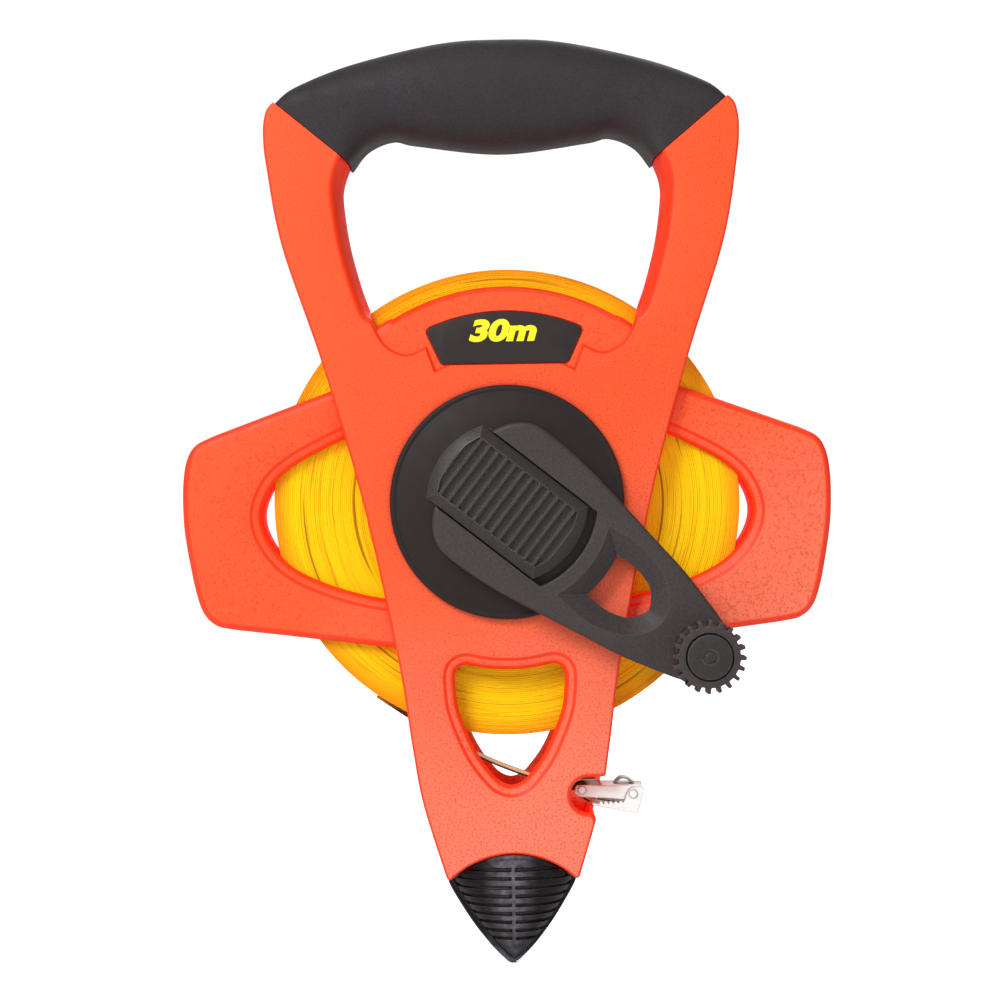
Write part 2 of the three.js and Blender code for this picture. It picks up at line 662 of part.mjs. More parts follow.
// a folded metal strip over the end loop, open below, that shields the pin inside the notch
function endClip() {
  const [x, z] = HOOK_PIN;
  const outer = [...arc(x, z, 3.5, 165, 90, 8), at(x + 4.6, z + 3.5)];
  const inner = [at(x + 4.6, z + 3.5 - SHEET), ...arc(x, z, 3.5 - SHEET, 90, 165, 8)];
  return plate([...outer, ...inner], -5.8, 5.8);
}

piece("tape_lead", tapeLead(), TAPE_YELLOW);

const fromPin = (list) => points(list.map(([x, z]) => [x + HOOK_PIN[0], z + HOOK_PIN[1]]));

// the hook's body: two cheeks joined by a web along their top
function hookBody() {
  const cheek = fromPin([[-2.1, 1.3], [-1, 1.7], [6.3, 1.5], [20, 1.1], [19.6, -1.7], [18.8, -3.3],
    [16.4, -4], [14, -3.5], [6, -2.7], [0, -2.4], [-1.8, -1.8], [-2.5, -0.3]]);
  const web = fromPin([[6.3, 1.5], [20, 1.1], [20, 1.1 - SHEET], [6.3, 1.5 - SHEET]]);
  const side = plate(cheek, CHEEK_IN, CHEEK_IN + SHEET);
  return union([side, flipped(side), plate(web, -CHEEK_IN - 0.3, CHEEK_IN + 0.3)])
    .subtract(disc(PIN_R + 0.2, -20, 20, ...HOOK_PIN, 20))
    .subtract(disc(PIN_R + 0.2, -20, 20, ...CLAW_PIN, 20));
}

const CLAW_IN = CHEEK_IN + SHEET + GAP;

// the claw folds about the outer pin; its jaw has small teeth along the upper edge
function hookClaw() {
  const teeth = [];
  for (let x = 0; x < 8; x += 1.6) {
    teeth.push([x + 5.5, -4.7 + x * 0.05], [x + 6.3, -3.6 - x * 0.02]);
  }
  const cheek = fromPin([
    [3.4, -4.1], [4, -4.3],
    ...teeth,
    [13.9, -3.7], [14.6, -1.7], [16.2, 0.4], [20.4, 0.7], [19.6, -3.6], [18.1, -7.9], [3.4, -5],
  ]);
  const web = fromPin([[4.6, -5.3], [18.1, -7.9], [18.1, -7.9 + SHEET], [4.6, -5.3 + SHEET]]);
  const side = plate(cheek, CLAW_IN, CLAW_IN + SHEET);
  return union([side, flipped(side), plate(web, -CLAW_IN - 0.3, CLAW_IN + 0.3)])
    .subtract(disc(PIN_R + 0.2, -20, 20, ...CLAW_PIN, 20));
}

// a rivet: a plain pin with a low head at both ends
function rivet([x, z], half, headIn) {
  const head = disc(PIN_R + 0.7, -half, -headIn, x, z, 20);
  return union([disc(PIN_R, -half, half, x, z, 20), head, flipped(head)]);
}

const CLAW_OUT = CLAW_IN + SHEET;

piece("tape_end_clip", endClip(), STEEL);
piece("hook_body", hookBody(), NICKEL);
piece("hook_claw", hookClaw(), NICKEL);
piece("hook_pin", rivet(HOOK_PIN, CHEEK_IN + SHEET + GAP + 0.4, CHEEK_IN + SHEET + 0.2), NICKEL);
piece("claw_rivet", rivet(CLAW_PIN, CLAW_OUT + 0.6, CLAW_OUT + 0.2), NICKEL);

reel.position.z = -GRIP_ABOVE_AXIS;

export default reel;
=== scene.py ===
import math
import random

import bmesh
import bpy
from mathutils import Matrix, Vector


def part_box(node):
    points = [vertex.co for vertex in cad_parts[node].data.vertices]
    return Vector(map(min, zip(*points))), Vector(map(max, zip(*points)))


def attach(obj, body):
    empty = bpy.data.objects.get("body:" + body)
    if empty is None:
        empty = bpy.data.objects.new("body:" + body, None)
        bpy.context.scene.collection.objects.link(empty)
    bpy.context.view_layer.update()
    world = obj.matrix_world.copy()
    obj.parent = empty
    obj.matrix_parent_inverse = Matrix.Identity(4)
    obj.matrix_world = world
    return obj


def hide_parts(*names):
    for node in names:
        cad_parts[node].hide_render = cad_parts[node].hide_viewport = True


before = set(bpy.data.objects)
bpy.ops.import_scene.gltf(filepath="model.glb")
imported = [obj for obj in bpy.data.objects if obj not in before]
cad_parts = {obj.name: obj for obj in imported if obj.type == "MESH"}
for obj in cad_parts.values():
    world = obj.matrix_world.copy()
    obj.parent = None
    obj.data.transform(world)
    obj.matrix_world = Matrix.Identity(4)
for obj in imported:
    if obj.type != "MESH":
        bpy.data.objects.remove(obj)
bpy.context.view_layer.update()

# Shapes are drawn in millimetres about the drum axis: x to the right, y into the depth (the crank side is
# negative) and z up. They become metres in the part's frame when a mesh is made.

MM = 0.001
roll_low, roll_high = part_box("wound_tape")
AXIS = Vector(((roll_low[0] + roll_high[0]) / 2, 0.0, (roll_low[2] + roll_high[2]) / 2))
ROLL_R = (roll_high[2] - roll_low[2]) / 2 / MM
TAPE_HALF = (roll_high[1] - roll_low[1]) / 2 / MM
KITE_FACE = -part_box("front_frame")[0][1] / MM
SPIKE_TIP_Z = (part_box("ground_spike")[0][2] - AXIS.z) / MM

WING_FACE = 11.0
PLATE = 3.0
RIM = 2.5
SPLIT = 0.15
FAR = 20  # beyond every face of the reel
CAVITY_R = 78.0
CAVITY_HALF = 7.8
GAP = 0.3
CORE_R = 37.0
CRANK_ANGLE = math.radians(38.4)
KNOB_AT = 79.6

# ---------- camera

CAMERA_DISTANCE = 0.80
CAMERA_SPAN = 0.325  # width seen at the front plate
CAMERA_ROLL = math.radians(0.95)
CAMERA_SIDE = -0.0023
CAMERA_UP = 0.0007


def make_camera():
    data = bpy.data.cameras.new("camera")
    data.sensor_width = 36.0
    data.lens = data.sensor_width * CAMERA_DISTANCE / CAMERA_SPAN
    camera = bpy.data.objects.new("camera", data)
    camera.location = (CAMERA_SIDE, -KITE_FACE * MM - CAMERA_DISTANCE, AXIS.z + CAMERA_UP)
    level = Matrix.Rotation(math.radians(90), 4, "X")
    camera.rotation_euler = (Matrix.Rotation(CAMERA_ROLL, 4, "Y") @ level).to_euler()
    bpy.context.scene.collection.objects.link(camera)
    bpy.context.scene.camera = camera


make_camera()

# ---------- outlines


def arc(cx, cz, r, start, end, steps):
    """Points of a round stretch, the angles in degrees."""
    angles = [math.radians(start + (end - start) * i / steps) for i in range(steps + 1)]
    return [(cx + r * math.cos(a), cz + r * math.sin(a)) for a in angles]


def smooth(points, step=0.8):
    """A Catmull-Rom curve through the points, sampled about every step millimetres."""
    out = []
    last = len(points) - 1
    for i in range(last):
        p0, p1, p2, p3 = points[max(i - 1, 0)], points[i], points[i + 1], points[min(i + 2, last)]
        count = max(1, round(math.dist(p1, p2) / step))
        for k in range(count):
            t = k / count
            out.append(tuple(
                0.5 * (2 * b + (c - a) * t + (2 * a - 5 * b + 4 * c - d) * t * t
                       + (3 * b - a - 3 * c + d) * t ** 3)
                for a, b, c, d in zip(p0, p1, p2, p3)))
    return out + [tuple(points[-1])]


def quarter(steps):
    """Angles that divide a quarter turn, in radians."""
    return [math.radians(90 * i / steps) for i in range(steps + 1)]


def straight(a, b, step=0.8):
    count = max(1, round(math.dist(a, b) / step))
    return [(a[0] + (b[0] - a[0]) * i / count, a[1] + (b[1] - a[1]) * i / count) for i in range(count + 1)]


def mirror_x(points):
    return [(-x, z) for x, z in reversed(points)]


COINCIDE = 0.12


def joined(*stretches):
    """One closed outline, counter-clockwise, from stretches whose ends may coincide."""
    out = []
    for stretch in stretches:
        for p in stretch:
            if not out or math.dist(out[-1], p) > COINCIDE:
                out.append(p)
    if math.dist(out[0], out[-1]) < COINCIDE:
        out.pop()
    area = sum(a[0] * b[1] - b[0] * a[1] for a, b in zip(out, out[1:] + out[:1]))
    return out if area > 0 else out[::-1]


def inset(outline, distance):
    """The outline moved inwards, or outwards if distance is negative."""
    out = []
    n = len(outline)
    for i, p in enumerate(outline):
        before = Vector(p) - Vector(outline[i - 1])
        after = Vector(outline[(i + 1) % n]) - Vector(p)
        before.normalize()
        after.normalize()
        normal = Vector((-before.y - after.y, before.x + after.x)).normalized()
        corner = max(0.5, normal.dot(Vector((-before.y, before.x))))
        out.append((p[0] + normal.x * distance / corner, p[1] + normal.y * distance / corner))
    return out


def fillet(outline, corner, r, steps=6):
    """The outline with the sharp corner nearest to the point rounded off."""
    n = len(outline)
    at = min(range(n), key=lambda i: math.dist(outline[i], corner))
    line = [Vector(outline[(at + i) % n]) for i in range(n)]
    tip = line[0]
    way_out, way_in = (line[3] - tip).normalized(), (line[-3] - tip).normalized()
    half = way_out.angle(way_in) / 2
    reach = r / math.tan(half)
    centre = tip + (way_out + way_in).normalized() * (r / math.sin(half))
    kept = [p for p in line if (p - tip).length > reach]
    first, last = tip + way_in * reach - centre, tip + way_out * reach - centre
    bend = [centre + first.lerp(last, i / steps).normalized() * r for i in range(steps + 1)]
    return [tuple(p) for p in bend + kept]


kite_side = smooth([(73.8, 131.5), (75.6, 129.8), (76.8, 127.2), (77.5, 121), (76.5, 110), (71.8, 84),
                    (59.3, 45.5), (46.8, 0), (36.2, -51.4), (32.2, -78.7), (28.8, -98.2), (21.2, -123.6)])
handle_top = smooth([(-73.8, 131.5), (-67.3, 137.3), (-49.9, 144.8), (-21.2, 151.5), (0, 152.8),
                     (21.2, 151.5), (49.9, 144.8), (67.3, 137.3), (73.8, 131.5)])
grip_under = smooth([(-49.6, 111.4), (-44, 117.2), (-35.5, 120.2), (-27.6, 118.6), (0, 115.4), (27.6, 118.6),
                     (35.5, 120.2), (44, 117.2), (49.6, 111.4)])
SPIKE_ARC_Z = -143.9
SPIKE_ARC_R = 29.0
spike_arc = arc(0, SPIKE_ARC_Z, SPIKE_ARC_R + GAP, 43.8, 136.2, 44)
KITE = joined(kite_side, spike_arc, mirror_x(kite_side), handle_top)
KITE_CORNER_R = 1.1
for side in (1, -1):
    KITE = fillet(KITE, (side * 21.2, -123.6), KITE_CORNER_R)

opening_side = smooth([(44.5, 120.4), (47.8, 116.2), (50.1, 112), (52.4, 105.4), (52.5, 98.8), (50.6, 85.5),
                       (47.2, 72.3), (44.9, 65.6)])
opening_corner = smooth([(44.9, 65.6), (43.8, 63.0), (41.4, 61.6), (36.6, 60.9)], 0.5)
ARCH_R = 71.0
arch_top = arc(0, 0, ARCH_R, 59, 121, 90)
HAND_OPENING = joined([(40, 124)], opening_side, opening_corner, arch_top, mirror_x(opening_corner),
                      mirror_x(opening_side), [(-40, 124)])

wing_top = smooth([(57.9, 37.0), (89.3, 25.6), (97.5, 22.5), (102.4, 19.7), (105.0, 14.8), (106.1, 8),
                   (106.3, 0), (105.8, -9), (104, -20.3), (102.3, -28.5), (100.1, -34.8), (96.6, -38.6),
                   (91, -40.3), (71.7, -42.8), (36.4, -47.5)])
WINGS = joined([(20, 50)], wing_top, [(20, -49.3)], mirror_x([(20, 50)] + wing_top + [(20, -49.3)]))
wing_hole = smooth([(40, 25.8), (52, 21.9), (61, 17.7), (68.9, 13.4), (75.4, 8.2), (79.3, 1.6), (80.4, -4.4),
                    (78.7, -10.4), (74.7, -16.4), (68.8, -21.4), (58, -26.4), (45, -30.2), (34, -31.8)])
WING_HOLE = joined([(30, 25.4)], wing_hole, [(30, -31.6)])

neck_side = smooth([(13.6, -52.88), (15.7, -53.1), (17.3, -54.4), (17.9, -56.8), (17.7, -61), (16.9, -67),
                    (14.5, -74), (10.5, -82.5), (5.5, -89.2), (2.4, -91.6), (0, -92.2)], 0.6)
NECK_WINDOW = joined(arc(0, 0, 54.6, -104.4, -75.6, 30), neck_side, mirror_x(neck_side))

notch_top = smooth([(32.8, -87.0), (32.0, -88.6), (30.6, -89.6), (28.6, -90.0)], 0.4)
notch_foot = smooth([(25.2, -101.6), (26.4, -102.2), (27.2, -103.4), (27.4, -105.6)], 0.4)
NOTCH_FLOOR = 12.4
NOTCH = joined([(36, -87.0)], notch_top, arc(24.9, -95.8, 5.8, 90, 270, 24), notch_foot, [(36, -105.6)])

arch_side = smooth([(46, 70), (43.9, 61.0), (41.6, 55.4), (38.8, 51.2), (34.2, 48.5), (30.3, 48.3),
                    (25.6, 50.6)])
ARCH = joined(arch_side, arc(0, 0, 48.4, 62, 118, 50), mirror_x(arch_side), [(-46, 76), (46, 76)])

# ---------- meshes


def to_frame(v):
    return (v[0] * MM + AXIS.x, v[1] * MM, v[2] * MM + AXIS.z)


def along_crank(v):
    """From crank coordinates (out along the arm, depth, across it) to the reel's."""
    u, y, w = v
    c, s = math.cos(CRANK_ANGLE), math.sin(CRANK_ANGLE)
    return (u * c + w * s, y, -u * s + w * c)


def new_object(name, verts, faces, place=None):
    mesh = bpy.data.meshes.new(name)
    if place:
        verts = [place(v) for v in verts]
    mesh.from_pydata([to_frame(v) for v in verts], [], faces)
    bm = bmesh.new()
    bm.from_mesh(mesh)
    if bm.calc_volume(signed=True) < 0:
        bmesh.ops.reverse_faces(bm, faces=bm.faces)
    bmesh.ops.triangulate(bm, faces=[f for f in bm.faces if len(f.verts) > 4])
    bm.to_mesh(mesh)
    bm.free()
    obj = bpy.data.objects.new(name, mesh)
    bpy.context.scene.collection.objects.link(obj)
    return obj


def loft(name, rings, place=None, closed=False):
    """A closed mesh through rings of equal length, capped at both ends or joined end to end."""
    n = len(rings[0])
    verts = [v for ring in rings for v in ring]
    faces = []
    last = len(rings) if closed else len(rings) - 1
    for r in range(last):
        a, b = r * n, ((r + 1) % len(rings)) * n
        faces += [(a + i, a + (i + 1) % n, b + (i + 1) % n, b + i) for i in range(n)]
    if not closed:
        faces += [tuple(reversed(range(n))), tuple(range(len(verts) - n, len(verts)))]
    return new_object(name, verts, faces, place)


def slab(name, outline, profile, place=None):
    """A plate whose edge follows profile, a list of (inset, depth)."""
    rings = [[(x, y, z) for x, z in inset(outline, d)] for d, y in profile]
    return loft(name, rings, place)


def rounded(front, back, r, steps=5):
    """Profile of a plate with its front edge rounded."""
    turns = quarter(steps)
    return [(0, back)] + [(r * (1 - math.cos(a)), front + r * (1 - math.sin(a))) for a in turns]


def rounded_both(front, back, r, steps=5):
    turns = quarter(steps)
    rear = [(r * (1 - math.sin(a)), back - r * (1 - math.cos(a))) for a in turns]
    return rear + rounded(front, back, r, steps)[1:]


def flared(front, back, r, steps=5, deep=None):
    """Profile of a cutter that rounds the front edge of the hole it makes, as deep as r unless told."""
    deep = deep or r
    turns = quarter(steps)
    lip = [(-r * (1 - math.cos(a)), front + deep * (1 - math.sin(a))) for a in turns]
    return [(0, back)] + lip + [(-r, front - 2)]


def turned(name, profile, segments=96, centre=(0, 0), place=None, wave=None):
    """A turned piece about a line in depth; profile lists (radius, depth) as a closed outline."""
    rings = []
    for i in range(segments):
        a = 2 * math.pi * i / segments
        points = wave(profile, a) if wave else profile
        rings.append([(centre[0] + r * math.cos(a), y, centre[1] + r * math.sin(a)) for r, y in points])
    return loft(name, rings, place, closed=True)


def bead(r_out, r_in, front, back, edge=0.4, steps=3):
    """Closed (radius, depth) outline of a ring or disc with rounded rims."""
    turns = quarter(steps)
    outer_front = [(r_out - edge * (1 - math.cos(a)), front + edge * (1 - math.sin(a))) for a in turns]
    outer_back = [(r_out - edge * (1 - math.sin(a)), back - edge * (1 - math.cos(a))) for a in turns]
    inner = [(r_in, front), (r_in, back)]
    return inner + outer_back + outer_front


def prism(outline, back, front, place=None):
    """A straight-walled cutter between two depths."""
    return slab("cutter", outline, [(0, back), (0, front)], place)


def box_cutter(x0, x1, y0, y1, z0, z1, place=None):
    verts = [(x, y, z) for x in (x0, x1) for y in (y0, y1) for z in (z0, z1)]
    faces = [(0, 1, 3, 2), (4, 6, 7, 5), (0, 4, 5, 1), (2, 3, 7, 6), (0, 2, 6, 4), (1, 5, 7, 3)]
    return new_object("cutter", verts, faces, place)


def disc_cutter(r, front, back, centre=(0, 0), place=None, segments=64):
    return prism(arc(*centre, r, 0, 360, segments)[:-1], back, front, place)


def combine(obj, others, operation="DIFFERENCE"):
    """Cuts the others from obj, or joins them to it, and removes them."""
    for other in others:
        step = obj.modifiers.new("step", "BOOLEAN")
        step.operation = operation
        step.solver = "MANIFOLD"
        step.object = other
    apply_modifiers(obj)
    for other in others:
        mesh = other.data
        bpy.data.objects.remove(other)
        bpy.data.meshes.remove(mesh)
    return obj


def apply_modifiers(obj):
    bpy.context.view_layer.update()
    graph = bpy.context.evaluated_depsgraph_get()
    mesh = bpy.data.meshes.new_from_object(obj.evaluated_get(graph))
    old = obj.data
    obj.modifiers.clear()
    obj.data = mesh
    mesh.name = obj.name
    bpy.data.meshes.remove(old)


def shade(obj, angle=32):
    """Smooth shading with the creases sharper than the angle kept."""
    bm = bmesh.new()
    bm.from_mesh(obj.data)
    for face in bm.faces:
        face.smooth = True
    limit = math.radians(angle)
    for edge in bm.edges:
        edge.smooth = len(edge.link_faces) == 2 and edge.calc_face_angle(0.0) < limit
    bm.to_mesh(obj.data)
    bm.free()


def dress(obj, body, material, nodes=(), angle=32):
    """Shading, material and place in the table for a finished piece."""
    shade(obj, angle)
    obj.data.materials.clear()
    obj.data.materials.append(material)
    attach(obj, body)
    if nodes:
        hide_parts(*nodes)
    return obj


# ---------- materials

# noise scales, in features a metre, from broad to fine
MOTTLE = 38.0
SHEEN = 160.0
SCUFF = 420.0
GRAIN = 1500.0

MIDDLE = (0.3, 0.7)  # the span of a noise that is stretched to the whole range
EDGE_REACH = 0.0004
# reach of the painted crease shade on the mouldings
CREASE_SHADE_REACH = 0.0012
DEEP_REACH = 0.03


class Recipe:
    """A node material built on one Principled shader."""

    def __init__(self, name):
        self.material = bpy.data.materials.new(name)
        self.material.use_nodes = True
        self.nodes = self.material.node_tree.nodes
        self.links = self.material.node_tree.links
        self.shader = self.nodes["Principled BSDF"]
        self.place = self.add("ShaderNodeTexCoord").outputs["Object"]

    def add(self, kind, **settings):
        node = self.nodes.new(kind)
        for key, value in settings.items():
            setattr(node, key, value)
        return node

    def feed(self, socket, value):
        """Sets a socket to a number or colour, or links it to another node's output."""
        if isinstance(value, (tuple, float, int)):
            socket.default_value = value
        else:
            self.links.new(value, socket)

    def noise(self, scale, detail=3.0, roughness=0.5, vector=None):
        node = self.add("ShaderNodeTexNoise")
        for key, value in (("Scale", scale), ("Detail", detail), ("Roughness", roughness),
                           ("Vector", vector or self.place)):
            self.feed(node.inputs[key], value)
        return node.outputs["Fac"]

    def spread(self, value, low, high, out_low=0.0, out_high=1.0):
        node = self.add("ShaderNodeMapRange")
        for key, number in (("Value", value), ("From Min", low), ("From Max", high), ("To Min", out_low),
                            ("To Max", out_high)):
            self.feed(node.inputs[key], number)
        return node.outputs["Result"]

    def patches(self, scale, span=MIDDLE, out=(0.0, 1.0), detail=3.0, roughness=0.5, vector=None):
        """Noise whose span is stretched to the out range."""
        return self.spread(self.noise(scale, detail, roughness, vector), *span, *out)

    def maths(self, operation, a, b=0.0):
        node = self.add("ShaderNodeMath", operation=operation)
        self.feed(node.inputs[0], a)
        self.feed(node.inputs[1], b)
        return node.outputs["Value"]

    def times(self, a, b):
        return self.maths("MULTIPLY", a, b)

    def opposite(self, value):
        return self.spread(value, 0.0, 1.0, 1.0, 0.0)

    def mix(self, factor, a, b):
        node = self.add("ShaderNodeMix", data_type="RGBA")
        for index, value in ((0, factor), (6, a), (7, b)):
            self.feed(node.inputs[index], value)
        return node.outputs[2]

    def over(self, colour, other, mask, strength):
        """The colour with another laid over it where the mask is 1."""
        return self.mix(self.times(mask, strength), colour, other)

    def axes(self, vector=None):
        """The x, y and z of a vector, by default the place on the reel."""
        split = self.add("ShaderNodeSeparateXYZ")
        self.links.new(vector or self.place, split.inputs[0])
        return [split.outputs[axis] for axis in "XYZ"]

    def normal(self):
        return self.add("ShaderNodeNewGeometry").outputs["Normal"]

    def edges(self, reach=EDGE_REACH):
        """0 on flat ground, 1 along the mesh's edges, as far as the reach."""
        turned_in = self.add("ShaderNodeBevel", samples=4)
        turned_in.inputs["Radius"].default_value = reach
        dot = self.add("ShaderNodeVectorMath", operation="DOT_PRODUCT")
        self.links.new(turned_in.outputs["Normal"], dot.inputs[0])
        self.links.new(self.normal(), dot.inputs[1])
        return self.spread(dot.outputs["Value"], 0.99, 0.86)

    def flank(self, low, high):
        """1 where the surface faces the front or back, 0 on its flanks."""
        return self.spread(self.maths("ABSOLUTE", self.axes(self.normal())[1]), low, high)

    def creases(self, distance, low=0.35, high=0.95):
        """0 deep in a crease or seam narrower than the distance, 1 in the open."""
        node = self.add("ShaderNodeAmbientOcclusion", samples=6)
        node.inputs["Distance"].default_value = distance
        return self.spread(node.outputs["AO"], low, high)

    def bump(self, height, strength, distance):
        node = self.add("ShaderNodeBump")
        for key, value in (("Strength", strength), ("Distance", distance), ("Height", height)):
            self.feed(node.inputs[key], value)
        return node.outputs["Normal"]

    def set(self, **values):
        for key, value in values.items():
            self.feed(self.shader.inputs[key.replace("_", " ")], value)
        return self.material


def rgb(red, green, blue):
    """A colour given as it looks on screen, 0 to 255, in linear light."""
    def linear(c):
        c /= 255
        return c / 12.92 if c <= 0.04045 else ((c + 0.055) / 1.055) ** 2.4
    return (linear(red), linear(green), linear(blue), 1.0)


# the grey of the painted edge highlight, how dark the painted crease shade is against the deep colour, and
# how much smoother the edges get
EDGE_HIGHLIGHT_GREY = rgb(150, 142, 140)
CREASE_SHADE_DARKNESS = 0.3
WORN_SHINE = 0.12


def moulded(name, main, deep, roughness, grain=GRAIN, grain_height=0.0001, specular=0.35, fleck=0.6,
            edge_highlight=0.0):
    """Injection-moulded plastic: spark-eroded grain, faint mottling, shinier edges with a painted highlight,
    painted shade in the creases.
    """
    m = Recipe(name)
    colour = m.over(main, deep, m.patches(MOTTLE), 0.35)
    colour = m.over(colour, deep, m.patches(grain * 0.9, (0.42, 0.66), detail=2.0, roughness=0.7), fleck)
    # painted shade: the deep colour darkened where ambient occlusion finds a crease
    crease_shade = tuple(c * CREASE_SHADE_DARKNESS for c in deep[:3]) + (1.0,)
    colour = m.mix(m.creases(CREASE_SHADE_REACH), crease_shade, colour)
    # painted highlight: a lighter grey laid along the edges; the same mask makes the edges smoother
    wear_and_highlight = m.edges()
    colour = m.over(colour, EDGE_HIGHLIGHT_GREY, wear_and_highlight, edge_highlight)
    rough = m.patches(SHEEN, out=(roughness - 0.05, roughness + 0.06), detail=4.0)
    rough = m.maths("SUBTRACT", rough, m.times(wear_and_highlight, WORN_SHINE))
    return m.set(Base_Color=colour, Roughness=rough, Specular_IOR_Level=specular,
                 Normal=m.bump(m.noise(grain, 2.0, 0.6), 0.6, grain_height))


FACE_ORANGE = rgb(255, 87, 33)
FACE_MOTTLED = rgb(250, 79, 24)
# a paler pink laid over the faces as painted sheen towards the neck
FACE_NECK_SHEEN = rgb(250, 138, 112)
FACE_SPECK = rgb(206, 52, 20)
# painted shade on flanks and deep walls, a painted glow on those walls, and painted shade in narrow creases
FLANK_SHADE_ORANGE = rgb(252, 58, 10)
WALL_SHADE_RED = rgb(226, 20, 4)
INNER_GLOW = rgb(228, 16, 2)
CREASE_SHADE_RED = rgb(170, 24, 4)
NECK_SHEEN_ASIDE = 0.55  # how much further the painted sheen has come at the right-hand side
NECK_SHEEN_FROM, NECK_SHEEN_TO = 0.02, 0.14  # metres below the drum axis


def frame_material():
    """Hi-vis orange moulding: chalky flat faces, painted shade as deeper colour on flanks and walls with a
    painted glow, painted sheen towards the neck, painted shade in creases.
    """
    m = Recipe("frame_orange")
    face = m.over(FACE_ORANGE, FACE_MOTTLED, m.patches(34.0), 0.3)
    # painted sheen: the faces turn paler and pinker downwards towards the neck and towards the right-hand
    # side
    x, _, z = m.axes()
    drop = m.maths("SUBTRACT", m.times(x, NECK_SHEEN_ASIDE), z)
    drop = m.maths("ADD", drop, m.times(m.noise(14.0, 2.0), 0.05))
    face = m.mix(m.spread(drop, -AXIS.z + NECK_SHEEN_FROM, -AXIS.z + NECK_SHEEN_TO, 0.0, 0.75), face, FACE_NECK_SHEEN)
    face = m.over(face, FACE_SPECK, m.patches(GRAIN, (0.5, 0.64), detail=2.0, roughness=0.7), 0.6)
    # painted shade: flanks turn a deeper orange and walls deep in hollows a shaded red, which also gets a
    # painted glow
    inside = m.opposite(m.creases(DEEP_REACH, 0.35, 0.85))
    deep = m.times(m.opposite(m.flank(0.05, 0.7)), inside)
    colour = m.mix(m.flank(0.93, 0.99), m.mix(deep, FLANK_SHADE_ORANGE, WALL_SHADE_RED), face)
    # painted shade in narrow creases
    colour = m.mix(m.creases(0.0015, 0.3, 0.85), CREASE_SHADE_RED, colour)
    return m.set(Base_Color=colour, Roughness=m.patches(SHEEN, out=(0.44, 0.56), detail=4.0),
                 Specular_IOR_Level=m.spread(m.flank(0.15, 0.5), 0.0, 1.0, 0.04, 0.4),
                 Emission_Color=INNER_GLOW, Emission_Strength=m.times(deep, 0.9),
                 Normal=m.bump(m.noise(1400.0, 2.0, 0.6), 0.5, 0.00006))


SPIKE_DEEP = rgb(8, 6, 9)
# painted highlights: grey down the middle crowns and along the edges
SPIKE_HIGHLIGHT = rgb(112, 106, 117)
SPIKE_EDGE_HIGHLIGHT = rgb(84, 80, 84)
HIGHLIGHT_MIDDLE = -0.001  # metres from the spike's middle line
HIGHLIGHT_IN, HIGHLIGHT_OUT = 0.002, 0.009


def spike_material():
    """Glass-filled black: a painted grey highlight on the crowns along the middle, deep black flanks, painted
    shade in the grooves and a painted highlight on the edges.
    """
    m = Recipe("spike_black")
    # painted highlight: grey on the front-facing crowns near the middle line, broken up by noise
    aside = m.maths("ABSOLUTE", m.maths("SUBTRACT", m.axes()[0], AXIS.x + HIGHLIGHT_MIDDLE))
    painted_highlight = m.times(m.flank(0.6, 0.9), m.spread(aside, HIGHLIGHT_IN, HIGHLIGHT_OUT, 1.0, 0.0))
    highlight_breakup = m.patches(SCUFF, (0.36, 0.64), (0.3, 1.0), 4.0, 0.7)
    colour = m.over(SPIKE_DEEP, SPIKE_HIGHLIGHT, painted_highlight, highlight_breakup)
    # painted shade: the grooves and creases darkened to deep black
    colour = m.mix(m.creases(0.0014, 0.5, 0.95), SPIKE_DEEP, colour)
    # painted highlight: a lighter grey line along the edges
    colour = m.over(colour, SPIKE_EDGE_HIGHLIGHT, m.edges(), 0.5)
    return m.set(Base_Color=colour, Roughness=m.patches(300.0, out=(0.26, 0.42)), Specular_IOR_Level=0.2,
                 Normal=m.bump(m.noise(1900.0, 2.0), 0.5, 0.00004))


TAPE_YELLOW = rgb(255, 216, 2)
TAPE_AMBER = rgb(252, 206, 2)
TAPE_LINE = rgb(214, 128, 4)
TAPE_GRIME = rgb(104, 62, 6)
TAPE_STAIN = rgb(110, 74, 10)
TAPE_OUTER_TURNS = rgb(232, 128, 10)
TAPE_FLAT_SIDE = rgb(255, 208, 8)
# the free lead: a tan for painted shade and grazing reflection on the yellow tape, darker along its edges as
# painted shadow
LEAD_SHADED_TAN = rgb(240, 196, 104)
LEAD_EDGE_SHADOW = rgb(70, 38, 10)
OUTER_TURNS_FROM = 0.0700
ROLL_EDGE, LEAD_FROM = 0.0767, 0.0772
ALONG_TURN = 0.02  # how much the pattern changes along a turn, against across the turns


